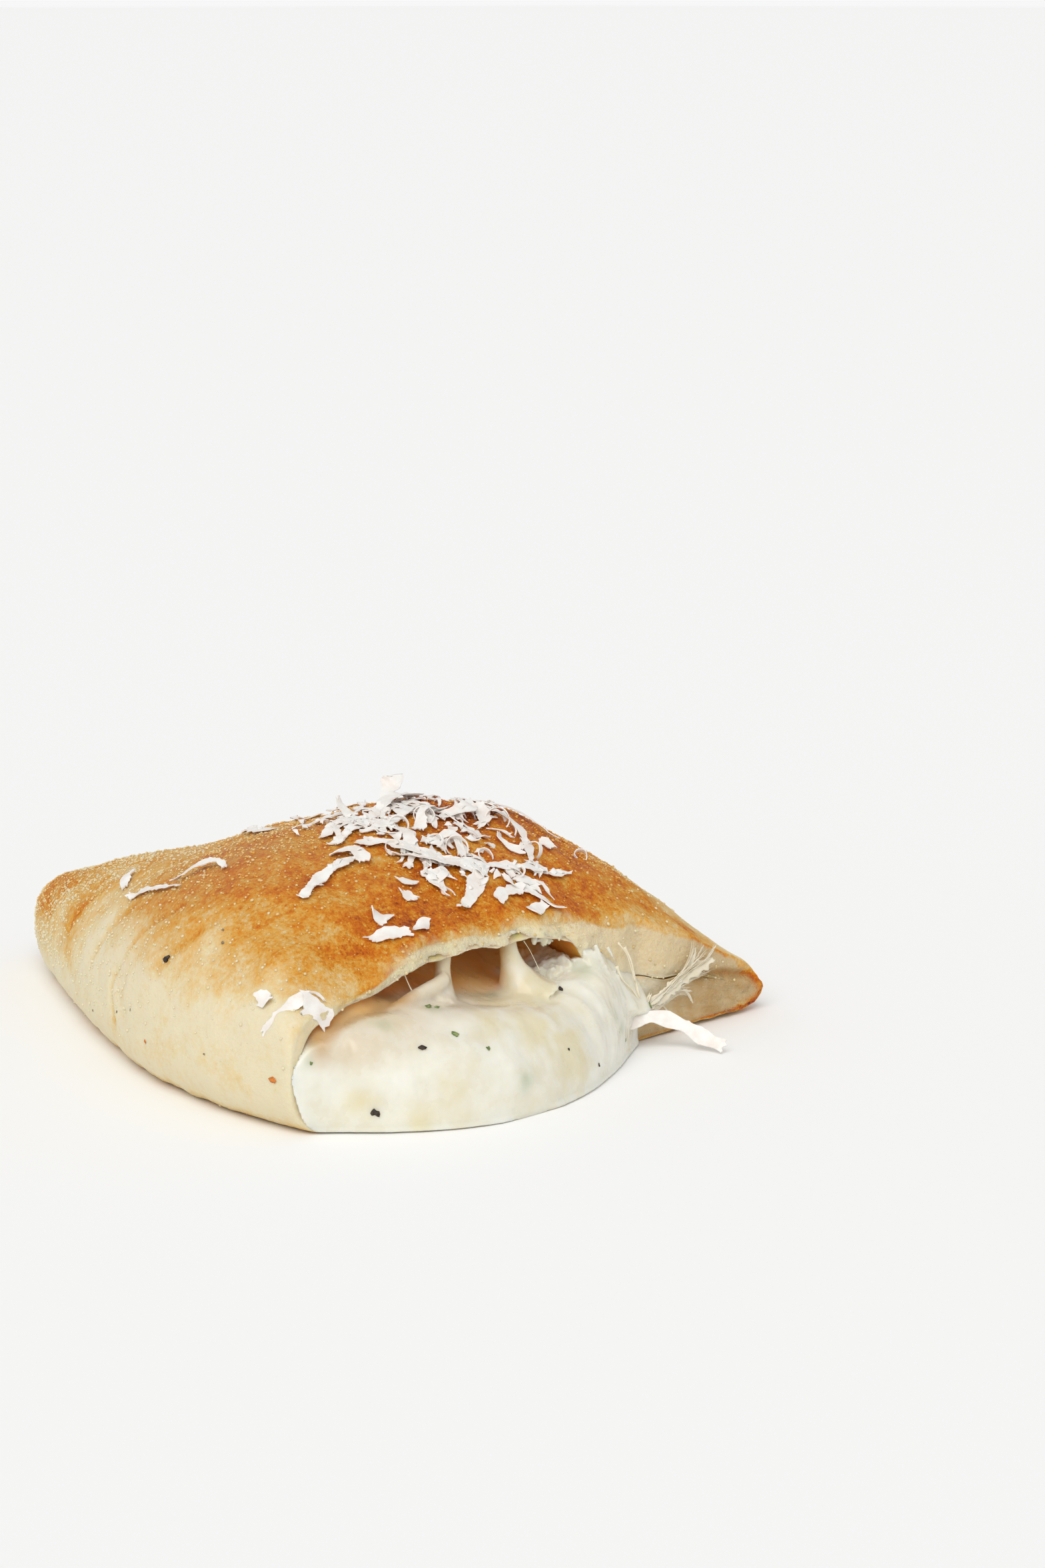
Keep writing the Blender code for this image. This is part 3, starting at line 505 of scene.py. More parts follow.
# Where the oven coloured the dough: places as (X, Y, reach in X, reach in Y, how much browner)
baking = {
    "byHeight": (10.0, 24.5, 0.43),
    "patches": [(20, 4.3, 12, 3.4, 0.25), (46, 7, 20, 7, 0.08), (46, 20, 14, 9, 0.25), (41, 24, 6, 5, 0.14),
                (18, 30, 13, 13, 0.08), (24, 75, 9, 7, 0.14), (14, 64, 6, 6, 0.26), (56, 30, 16, 15, 0.1),
                (44, 52, 14, 12, 0.15), (67, 3, 8, 4, 0.1), (6, 46, 5, 10, 0.05), (31, 12, 5, 3, 0.1),
                (22, 79, 5, 5, 0.16), (22, 50, 14, 12, -0.07), (4, 21, 4, 6, -0.14), (1.3, 32, 4, 3, -0.12),
                (9.5, 24, 3, 5, 0.08), (13, 15, 3, 2, 0.08), (50, 3.5, 7, 3, 0.22), (68, 7, 9, 6, 0.08),
                (73, 2, 6, 4, 0.25), (49, 0, 8, 1.2, -0.2), (58, 12, 4, 3, 0.12), (28, 14.6, 3, 2, -0.16),
                (43, 14, 4, 2.5, -0.12), (50, 17, 4, 3, -0.12), (37, 20, 3, 2, -0.14),
                (4.8, 41, 4, 4, -0.16), (11, 49, 4, 4, -0.14), (12, 0.5, 4, 1.6, 0.1), (0, 5, 3, 4, -0.2),
                (22, 85, 6, 7, 0.34), (16, 76, 6, 6, 0.12), (17, 70, 7, 8, 0.07), (10, 58, 6, 8, 0.05),
                (24, 34, 10, 10, -0.05)],
    "rim": (6, 0.34), "lipPale": (2.6, 0.22, 22, 44), "under": 0.25,
    # uneven browning of the top and of the underside: strength, size, seed and octaves
    "cloudy": (0.07, 7, 1, 3), "blotchy": (0.05, 2.6, 2, 2), "underCloudy": (0.06, 5, 3, 3),
    "dusty": [(18, 32, 12, 14, 0.9), (26, 78, 7, 5, 0.9), (30, 55, 9, 12, 0.6), (48, 18, 10, 8, 0.25)],
}


def spreadPatches(x, y, patches):
    return sum(amount * bell(x - px, reachX) * bell(y - py, reachY)
               for px, py, reachX, reachY, amount in patches)


def browningAt(points, normals):
    x, y, z = points.T
    low, high, most = baking["byHeight"]
    brown = most * ease(low, high, z) + spreadPatches(x, y, baking["patches"]) * ease(4, 12, z)
    _, seal, _ = foldAndSeal(y)
    reach, amount = baking["rim"]
    atRim = amount * fade(0, reach, seal - x)
    brown += atRim
    reach, amount, start, end = baking["lipPale"]
    brown -= amount * fade(0, reach, y) * ease(start, start + 3, x) * fade(end, end + 5, x)
    brown += relief(points, *baking["cloudy"]) + relief(points, *baking["blotchy"])
    down = -normals[:, 2]
    underneath = baking["under"] * ease(0.5, 0.9, down) + atRim * 0.8 + relief(points, *baking["underCloudy"])
    brown = np.where(down > 0.3, underneath, brown)
    return np.clip(brown, 0, 1)


# Creases in the skin as paths on the surface, with depth and half-width
creases = {
    "folds": [([(3.1, 39.7, 6), (3.8, 41.2, 8.8), (4.1, 41.1, 11.1), (4, 39.5, 13.1), (4.2, 37.8, 15.1),
                (4.4, 36.3, 17.1), (5.4, 34.8, 19), (5.7, 31.8, 20.9), (6.7, 29.6, 22.4)], -0.5, 0.7),
              ([(2.4, 37.9, 7.2), (2.9, 39.2, 9.6), (3.1, 38.6, 12.4), (3.5, 36.4, 15), (4, 34.6, 17.6)],
               0.38, 1.0),
              ([(13, 62.7, 8.2), (14.2, 64, 11.2), (15.1, 63.8, 13.1), (15.7, 62, 15.1), (16.7, 60, 16.9)],
               -0.4, 0.8),
              ([(7.8, 49.9, 11.8), (8.1, 48.4, 14.1), (9, 46.4, 16.9), (9.5, 43.5, 19.1)], -0.3, 0.8),
              ([(1, 27.6, 15.3), (2, 24.7, 18.3), (3.7, 22.5, 20.7), (5.1, 21.3, 22.1)], -0.18, 0.9)],
    # relief of the skin and roughness of the crumb and the torn edge: height, size, seed and octaves
    "bumps": (0.18, 4.5, 6, 2), "pimples": (0.11, 1.5, 7, 2), "grit": (0.06, 0.7, 8),
    "crumb": (1, 1.3, 9, 4), "crumbDepth": 0.22, "tornWide": (0.2, 1.6, 4, 2), "tornFine": (0.1, 0.6, 5),
    # how deep the baked skin shows round the cut: at the roof, past X 62 and at the sealed end
    "skinDepth": 0.45, "slopeDepth": 0.25, "rimDepth": 1.2,
    # how far the pale crumb reaches up over the torn lip, and how thick the skin is at the fold
    "fadeOver": 1.6, "foldSkin": 1.1,
    # the bed's edge that shows under the cheese, and how often the cut's sharp edge is eased
    "bedEdge": 1.1, "easeEdge": 14, "tornBack": 0.7,
    # how much a crease is painted darker (painted shade) and a ridge paler (painted light), and the share of
    # a fold's depth that the mesh takes
    "foldPaintedShade": (0.13, -0.08), "foldShare": 0.8,
    # golden cut skin along the lip, brown at the sealed end and under the bed
    "cutTone": (0.1, 0.3, 0.45),
    # the seam: crease depth within and past the opening, and half-widths of the crease and of its dark line
    # of painted shade
    "seamDepth": (0.3, 0.4), "seamWide": 0.6, "seamLineWide": 0.3,
    # the seam as (X, Z) on the cut, and where a film of cheese dried on it as (X, Z, reach, reach, strength)
    "seamLine": [(57, 9.7), (58.7, 9.3), (63.6, 7.9), (68, 7.4), (72.4, 6.9), (75, 6.5), (77.5, 5.9),
                 (80.4, 5.2)],
    "film": [(56.5, 8, 4, 3.4, 0.9), (61.5, 6.4, 3.6, 2.2, 0.8), (49.5, 14.6, 4, 1.2, 0.4),
             (66, 8.4, 3.0, 0.8, 0.5)],
}


def buildCrust():
    bodyEnd, overTop = crust["length"] - crust["tipLength"], crust["overTop"]
    tipAngles = np.linspace(0, math.pi / 2, crust["tipRows"] + 1)[1:]
    outerY = np.concatenate([bodyEnd + crust["tipLength"] * np.cos(tipAngles),
                             np.linspace(bodyEnd, 0, crust["bodyRows"] + 1)[1:]])
    hollowY = crust["hollowLength"] * np.linspace(0, 1, crust["hollowRows"] + 1)[:-1] ** 2

    tip = foldAndSeal(np.float64(crust["length"]))[0]
    rows = [np.array([tip, crust["length"], crust["tipHeight"]])]
    for y in outerY:
        fold, seal, _ = foldAndSeal(y)
        rows.append(asRow(sectionRing(lambda t: (fold + (seal - fold) * t, crustTop(t, y)),
                                      lambda t: (fold + (seal - fold) * t, crustBase(t, y)),
                                      1, overTop, crust["underneath"]), y))
    insideRows = [asRow(sectionRing(lambda t: pressedHollow(t, y)[:2], lambda t: pressedHollow(t, y)[::2],
                                    1, overTop, crust["underneath"]), y) for y in hollowY]
    cutStart, cutEnd = len(outerY), len(outerY) + crust["cutRows"]
    for share in np.linspace(0, 1, crust["cutRows"] + 1)[1:-1]:
        rows.append(rows[cutStart] * (1 - share) + insideRows[0] * share)
    rows += insideRows
    # the sharp edge of the cut is rounded over, most at the fold
    for _ in range(creases["easeEdge"]):
        for k in range(cutStart - 3, cutStart + 7):
            share = 0.25 * (1 - 0.72 * ease(3, 9, rows[k][:, :1]))
            rows[k] = (1 - 2 * share) * rows[k] + share * (rows[k - 1] + rows[k + 1])
    x, roof, _ = hollow(np.array([0.5]), crust["hollowLength"])
    rows.append(np.array([x[0], crust["hollowLength"], roof[0]]))

    made, row, turn = ballOfRows("doughCrust", rows)
    points = toDesign(readPoints(made))
    x, y, z = points.T
    upper = turn <= overTop
    nearCut = (np.clip(1 - np.clip(cutStart - row, 0, None) / 5, 0, 1)
               * np.clip(1 - np.clip(row - cutEnd, 0, None) / 4, 0, 1))
    # the torn lip is set back unevenly; the bed's edge comes forward at the left, under the cheese
    onFlat = points * (1, 0, 1)
    ragged = relief(onFlat, *creases["tornWide"]) + relief(onFlat, *creases["tornFine"])
    torn = lipLine(x) + ragged * band(3, 8, 58, 64, x)
    forward = creases["bedEdge"] * band(-1, 2.5, 6, 10, x) * fade(0.8, 2.4, z)
    acrossCut = np.clip((row - cutStart) / crust["cutRows"], 0, 1)
    tilted = creases["tornBack"] * band(13, 21, 58, 66, x) * (1 - acrossCut)
    y += ((torn + tilted) * upper - forward) * nearCut
    # how far each place on the cut lies from the skin
    outline = points[row == cutStart][:, ::2]
    onFace = (row >= cutStart) & (row <= cutEnd + 1)
    fromSkin = np.where(row > cutEnd + 1, 9.0, 0.0)
    fromSkin[onFace] = np.sqrt(((points[onFace][:, None, ::2] - outline[None]) ** 2).sum(axis=2)).min(axis=1)
    writePoints(made, toFrame(points))

    normals = readNormals(made)
    outside = (row <= cutStart) * 1.0
    onCut = ease(cutStart - 1, cutStart + 1.5, row) * fade(cutEnd - 1, cutEnd + 1, row)
    inHollow = ease(cutEnd + 1, cutEnd + 3, row)
    brown = browningAt(points, normals)
    grainy = (0.35 + 0.65 * ease(0.15, 0.5, brown)) * outside
    lift = relief(points, *creases["bumps"]) * outside
    lift += relief(points, *creases["pimples"]) * grainy
    lift += relief(points, *creases["grit"]) * grainy
    for path, depth, width in creases["folds"]:
        onFold = bell(distanceToPath(points, path), width)
        lift += creases["foldShare"] * depth * onFold * outside
    crumbRough = relief(points * (1, 1, 0.7), *creases["crumb"])
    belowSeam = 1 - ease(-0.4, 0.4, z - np.interp(x, *zip(*creases["seamLine"])))
    coarse = 1 - ease(52, 58, x) * np.where(z > 5, 0.5, 0) + ease(50, 56, x) * belowSeam * 0.9
    lift += creases["crumbDepth"] * (crumbRough - 0.1) * onCut * ease(2, 8, x) * coarse
    # the seam lies in a soft crease that runs on past the end of the opening
    fromSeam = distanceToPath(points, [(sx, 0, sz) for sx, sz in creases["seamLine"]])
    pastOpening = ease(65, 69, x)
    inCrease = bell(fromSeam, creases["seamWide"]) * onCut
    within, further = creases["seamDepth"]
    lift -= (within + further * pastOpening) * inCrease
    lift *= ease(-0.2, 0.6, z)
    points += normals * lift[:, None]
    points[:, 2] = np.maximum(z, 0)
    writePoints(made, toFrame(points))

    # painted shade in each crease and painted light on each ridge
    browner, paler = creases["foldPaintedShade"]
    for path, depth, width in creases["folds"]:
        brown += (browner if depth < 0 else paler) * bell(distanceToPath(points, path), width)
    skinDepth = (creases["skinDepth"] + creases["slopeDepth"] * ease(60, 72, x)
                 + creases["rimDepth"] * ease(76, 80, x) + creases["foldSkin"] * fade(6, 14, x))
    edge = ease(0.35, 1.0, fromSkin / skinDepth * (1 + 0.5 * crumbRough))
    # along the lip the crumb begins on the skin side of the edge, in soft patches
    toEdge = fromSkin - np.clip(y - torn, 0, 9) * (row < cutStart)
    fading = ease(-creases["fadeOver"], 0.35, toEdge + 0.8 * roughField(points, 1.4, 41, 2))
    onLip = band(13, 20, 48, 54, x) * upper * (row <= cutEnd) * (z > 5)
    # the cut skin shows its colour
    golden, sealed, below = creases["cutTone"]
    brown += (golden * ease(6, 14, x) * ease(9, 12, z) + sealed * ease(66, 76, x)) * onCut
    brown += np.where(z < 1.4, below, 0) * onCut * ease(40, 50, x)
    tanned = 0.7 + 0.5 * crumbRough + 0.2 * ease(66, 72, x) - 0.2 * ease(74, 80, x)
    # the lower dough's cut is toasted tan, and the seam's crease takes painted shade
    toasted = tanned * ease(50, 56, x) * belowSeam + 0.9 * inCrease * pastOpening
    toasted += (0.25 * ease(46, 60, x) + 0.3 * ease(64, 74, x)) * (1 - belowSeam)
    crumb = np.where(row > cutEnd, 1, edge) * ease(cutStart - 1, cutStart + 1, row)
    # the seam is painted darker where the two doughs meet without cheese between them: browned dough and
    # painted shade in its crease
    crumb *= 1 - 0.35 * bell(fromSeam, creases["seamLineWide"]) * onCut * pastOpening
    brown += 0.2 * inCrease * pastOpening
    # cave marks the hollow, whose dough is painted orange as painted glow of light through the roof
    writeValues(made, skin=outside, browning=np.clip(brown, 0, 1), toasted=np.clip(toasted, 0, 1),
                crumb=crumb * (1 - onLip) + fading * onLip,
                film=np.clip(spreadPatches(x, z, creases["film"]), 0, 1) * onCut,
                cave=inHollow * (1 - ease(50, 58, x) * fade(1, 5, y)),
                dusty=np.clip(spreadPatches(x, y, baking["dusty"]), 0, 1) * ease(9, 16, z) * outside)
    return finished(made)


# Melted fresh cheese and ricotta: glossy, wet, with light deep in it, cream with oilier yellow patches;
# painted shade under the lip and the roof, and painted glow deep in the mouth
cheeseLooks = {
    "base": [(0.3, "#e6dfc9"), (0.5, "#ebe8d9"), (0.75, "#f2f0e5")], "soaked": ("#ffd896", "#f4b25e"),
    "oilAndShade": "#e2d6ac", "herbStain": "#b9c3a6", "fatty": "#c39a62",
    # soft clouds and finer lumps: size in millimetres, detail and roughness, and the height of each
    "noise": [(4.5, 3, 0.55), (0.9, 4, 0.6)], "heights": (0.8, 0.2), "bump": 0.5,
    "oilAndShadePower": 0.7, "herbPower": 0.6, "coat": (0.2, 0.14),
    # wetter and drier spots over the clouds: from where to where, and the roughness there
    "roughness": (0.35, 0.65, 0.24, 0.34),
    # light inside the cheese at the front and deep in the mouth: share, and reach in millimetres
    "scatter": (0.6, 0.95), "reach": (1.8, 9),
}


def meltedCheese():
    looks = cheeseLooks
    material, tree, shader, place = newMaterial("meltedCheese")
    oilAndShade, herbStain, fatty, soaked = (
        addNode(tree, "Attribute", output="Fac", attribute_name=key)
        for key in ("oilAndShade", "herbStain", "fatty", "soaked"))
    cloud, fine = (
        addNode(tree, "TexNoise", {"Vector": place, "Scale": perMetre(size), "Detail": detail,
                                   "Roughness": rough}) for size, detail, rough in looks["noise"])
    oilAndShadeShare, herbShare = (
        addNode(tree, "Math", share, power, operation="MULTIPLY", use_clamp=True)
        for share, power in ((oilAndShade, looks["oilAndShadePower"]), (herbStain, looks["herbPower"])))
    # the orange-brown of the painted glow and shade deep in the mouth
    deep = addNode(tree, "Mix", {0: cloud, 6: looks["soaked"][0], 7: looks["soaked"][1]}, **colourMix)
    colour = addNode(tree, "ValToRGB", cloud, stops=looks["base"])
    # painted shade on the cheese under the lip, and painted glow and shade on the cheese deep in the mouth
    for share, layer in ((oilAndShadeShare, looks["oilAndShade"]), (herbShare, looks["herbStain"]), (fatty, looks["fatty"]),
                         (soaked, deep)):
        colour = addNode(tree, "Mix", {0: share, 6: colour, 7: layer}, **colourMix)
    raised = 0
    for part, height in zip((cloud, fine), looks["heights"]):
        raised = addNode(tree, "Math", part, height, raised, operation="MULTIPLY_ADD")
    bump = addNode(tree, "Bump", {"Height": raised, "Strength": 0.25, "Distance": looks["bump"] * mm})
    feed(tree, shader, {
        "Base Color": colour, "Roughness": addNode(tree, "MapRange", cloud, *looks["roughness"]), "IOR": 1.44,
        "Coat Weight": looks["coat"][0], "Coat Roughness": looks["coat"][1],
        "Subsurface Radius": (1.0, 0.8, 0.55), "Normal": bump,
        # deep in the mouth the light comes through the cheese itself
        "Subsurface Weight": addNode(tree, "MapRange", soaked, 0, 1, *looks["scatter"]),
        "Subsurface Scale": addNode(tree, "MapRange", soaked, 0, 1, *(far * mm for far in looks["reach"])),
    })
    return material


# How the cheese stretched when the half was pulled off: necks to the roof, ridges and pleats, torn curd
pull = {
    # foot and top as (X, Y), neck radius, flare at the top, flare at the foot and how quickly it widens
    "necks": [((23.5, 0.4), (25.9, 2.2), 0.85, 0.3, 2.3, 3), ((39.4, 0.5), (37.3, 2.4), 1, 0.3, 3.7, 2.4)],
    # how far a neck's foot is sunk into the cheese, and how far its top stays below the roof
    "neckSunk": 1.6, "neckBelow": 0.45,
    # soft ropes lying in the surface: path and radius
    "swags": [([(25.2, 1, 15), (23.5, 0.5, 14.4), (20.8, 0.1, 14), (18.4, -0.1, 13.5), (16.2, -0.4, 12.8),
                (13.6, -0.8, 12.3), (10.5, -1.4, 11.7)], 1.2),
              ([(37.8, -0.4, 11.2), (41, -1, 10.4), (44.5, -1.4, 10.3), (48, -1.6, 9.8)], 1.3),
              ([(44, 2.2, 11.4), (47, 1.6, 12), (50, 0.6, 12.4)], 1.1),
              ([(41.5, 3.6, 11.4), (45, 3.4, 11.9), (48.5, 2.6, 12.6)], 1.2)],
    # a path over the cheese, height and half-width of the ridge or groove along it
    "ridges": [([(41.3, -2.9, 10.5), (42.6, -5.8, 9.3), (43.1, -8, 6.6), (43.2, -8.6, 4),
                 (40.8, -10.0, 2.4)], 0.18, 1.1),
               ([(44.9, -2.9, 10.9), (46.3, -5.7, 8.5), (48, -5.9, 5), (46.7, -7, 3.1)], 0.16, 1),
               ([(47.8, -3, 11.2), (50.6, -3.6, 8.1), (51.9, -3.8, 4.7), (50.9, -4.6, 3)], 0.15, 0.9),
               ([(36.6, -2.9, 10.7), (37.9, -7.6, 8.8), (39.3, -9.5, 6.3), (38.3, -10.7, 4.2),
                 (34.8, -12.1, 2.6)], 0.14, 1.4),
               ([(39.4, -2.9, 10.5), (40.3, -6.7, 9), (41.2, -8.8, 6.4), (40.6, -9.4, 4.1)], -0.1, 0.9),
               ([(43.2, -2.9, 10.7), (44.5, -5.7, 8.8), (45.6, -6.9, 5.8), (44.9, -7.8, 3.2)], -0.12, 0.8),
               ([(46.4, -2.9, 11), (48.6, -4.7, 8.3), (50, -4.8, 5), (49, -5.6, 3)], -0.1, 0.7),
               ([(21.6, -6.6, 11.8), (28.6, -6.4, 10.8), (34.1, -7.9, 9.4)], 0.3, 2.2),
               ([(11.2, -6, 11.2), (16.4, -7.4, 11.5), (21.4, -9.2, 10.1)], -0.25, 2),
               ([(7.5, -5.3, 8.4), (11.8, -7.7, 8.9), (17, -10.4, 7.6), (23.4, -11.8, 6.9)], 0.25, 2.4),
               ([(27, -2.4, 12.4), (32, -3.4, 11.4), (38, -3.4, 10.9)], -0.4, 1.2),
               ([(4, -3.4, 6.4), (6.5, -5.2, 5.4), (9, -7, 3.6)], -0.25, 1.4)],
    # the curtain of cheese that clings to the cut dough at the right: low ends, high ends
    "curtainLow": [(50.4, -1.5, 9.6), (51.8, -1.8, 8.4), (53.2, -1.9, 7), (54.8, -1.9, 5.8),
                   (56.4, -1.8, 4.8), (58.4, -1.5, 4.4)],
    "curtainHigh": [(48.8, 1.7, 15.3), (50.4, 1.6, 14.9), (52, 1.5, 13.9), (53.8, 1.3, 12.4),
                    (55.8, 1.1, 10.8), (58.2, 0.8, 9.2)],
    "curtainRopes": 28, "curtainThick": (1.0, 0.55, 0.36),
    "ropes": [([(53, -1.9, 7.6), (52, -1.4, 10.6), (51.2, -0.9, 12.8), (50.4, -0.1, 14.9)], 0.45, 0.2),
              ([(54.6, -1.9, 6), (54, -1.6, 9), (53.4, -1.1, 11.8), (52.7, -0.1, 14.2)], 0.4, 0.17)],
    "lipDrops": [((27.9, 0.9, 18.2), 0.5), ((40.6, 1, 17), 0.6), ((42.2, 0.8, 16.8), 0.75),
                 ((43.4, 0.9, 16.6), 0.5)],
    "voxel": 0.27, "backAt": 17.0, "press": 0.55, "overFold": 0.85, "wets": 0.7,
    # points over the top and underneath, for the mouth and for the core
    "around": (150, 60), "aroundCore": (60, 30),
    # relief of the cheese, the edge of the painted glow and shade, and the stains: height, size, seed and
    # octaves
    "swell": (0.24, 6.5, 11, 2), "lumps": (0.06, 2.6, 12, 2), "curd": (0.9, 1.9, 13, 3), "pleat": 0.022,
    "glowEdge": (0.8, 3, 16, 2), "stainEdge": (0.5, 1.6, 15),
}

# Stains and oily patches on the cheese, and broad marks of painted shade under the roof among the oily ones:
# place and reach
cheeseMarks = {
    "herbStain": [(10.6, -3.6, 13, 1.3), (41, 2.8, 10.2, 1.6), (2.3, -0.6, 11.4, 1.2),
                  (50.5, -4.5, 4.5, 1.3), (48.5, -5.2, 6.3, 1), (47.8, -0.9, 11.9, 1.5),
                  (25.6, -12.9, 4.6, 1.2), (19.3, -3.5, 13.2, 1.5), (1.1, -0.5, 9.1, 0.8),
                  (33, 1, 11.6, 1.4)],
    # the last three marks, the widest, are painted shade under the roof; the rest are oily patches
    "oilAndShade": [(5.8, -4.7, 4.2, 1.7), (24.5, -7.2, 11, 2.2), (29.5, -9.6, 9, 2.4), (34.6, -11.5, 5.2, 3.6),
             (11.7, -8.9, 1.2, 1.8), (36.5, -10.1, 6.7, 2.2), (31, -8, 9.8, 2), (16, -9.8, 5, 1.6),
             (31, 0.5, 11.8, 5.5), (39, -1.5, 10.4, 4), (12, 0.6, 13.4, 4)],
}


def fillTop(x, y, roof):
    atFold = through(cheese["climbAtFold"], y)
    climb = atFold + (through(cheese["climb"], y) - atFold) * ease(*cheese["climbBlend"], x)
    return lowest(roof - cheese["gap"], through(cheese["top"], x) + climb, cheese["blend"])


def roofOver(x, y):
    # height of the roof's underside over a place in the hollow
    fold, seal, _ = foldAndSeal(y)
    left, right = fold + crust["foldWall"], seal - crust["bond"]
    return roofUnder(x, np.clip((x - left) / (right - left), 0, 1), y)


def insideRing(y, overTop, underneath):
    def top(t):
        x, roof, bed = hollow(t, max(y, 0.0))
        z = fillTop(x, y, roof)
        z = np.where(t < 1e-4, (roof + bed) / 2, z)
        return x, z

    def base(t):
        x, roof, bed = hollow(t, max(y, 0.0))
        return x, np.where(t < 1e-4, (roof + bed) / 2, bed + cheese["gap"])

    x, z = sectionRing(top, base, cheese["filled"], overTop, underneath)
    ends = hollow(np.array([0, cheese["filled"]]), max(y, 0.0))[0]
    middle, half = ends.mean(), max(ends[1] - ends[0], 1) / 2
    return middle + (x - middle) * (1 - cheese["gap"] * 1.3 / half), z


def flowRing(y, overTop, underneath):
    out = -y / cheese["out"]
    left = cheese["middle"] - cheese["left"] * math.sqrt(1 - out ** (1 / cheese["leftPower"]))
    right = cheese["middle"] + cheese["right"] * math.sqrt(1 - out ** (1 / cheese["rightPower"]))
    nearWall = (1 - out) ** 2
    footLeft = cheese["foot"] + (cheese["footAtWall"] - cheese["foot"]) * nearWall

    def top(t):
        x = left + (right - left) * t
        side = np.abs(x - cheese["middle"]) / np.where(x < cheese["middle"], cheese["left"], cheese["right"])
        power = np.where(x < cheese["middle"], cheese["leftPower"], cheese["rightPower"])
        reach = cheese["out"] * np.clip(1 - side ** 2, 1e-4, 1) ** power
        bulge = np.sqrt(np.clip(1 - (-y / reach) ** cheese["full"], 0, 1))
        foot = footLeft + (cheese["foot"] - footLeft) * ease(0, 0.25, t)
        return x, foot + (through(cheese["top"], x) - foot) * bulge

    def base(t):
        x = left + (right - left) * t
        roundLeft = min(cheese["round"] + cheese["roundAtWall"] * nearWall, (right - left) * 0.3)
        roundRight = min(cheese["round"], (right - left) * 0.3)
        return x, (footLeft * quarterRound((x - left) / roundLeft)
                   + cheese["foot"] * quarterRound((right - x) / roundRight))

    return sectionRing(top, base, 1, overTop, underneath)


def drawnTube(path, radii, sides=12):
    # a curve with a round bevel whose thickness follows the radii, made a closed mesh
    curve = bpy.data.curves.new("tube", "CURVE")
    curve.dimensions = "3D"
    curve.bevel_depth = mm
    curve.bevel_resolution = max(sides // 4 - 1, 1)
    curve.use_fill_caps = True
    line = curve.splines.new("POLY")
    line.points.add(len(path) - 1)
    for point, place, radius in zip(line.points, toFrame(path), radii):
        point.co = (*place, 1)
        point.radius = radius
    made = bpy.data.objects.new("tube", curve)
    bpy.context.scene.collection.objects.link(made)
    selectOnly(made)
    bpy.ops.object.convert(target="MESH")
    made = bpy.context.object
    shape = bmesh.new()
    shape.from_mesh(made.data)
    bmesh.ops.remove_doubles(shape, verts=shape.verts, dist=0.001 * mm)
    bmesh.ops.recalc_face_normals(shape, faces=shape.faces)
    shape.to_mesh(made.data)
    shape.free()
    return made


def neckOfCheese(neck):
    (footX, footY), (topX, topY), slim, flareTop, flareFoot, spread = neck
    s = np.linspace(0, 1, 22)
    foot = through(cheese["top"], footX) - pull["neckSunk"]
    left, right = (hollow(np.array([end]), topY)[0] for end in (0.0, 1.0))
    roof = hollow((topX - left) / (right - left), topY)[1][0] - pull["neckBelow"]
    leaning = 1 - (1 - s) ** spread
    path = np.stack([footX + (topX - footX) * leaning, footY + (topY - footY) * leaning,
                     foot + (roof - foot) * s], axis=-1)
    return drawnTube(path, slim + flareTop * s ** 9 + flareFoot * (1 - s) ** spread, 24)


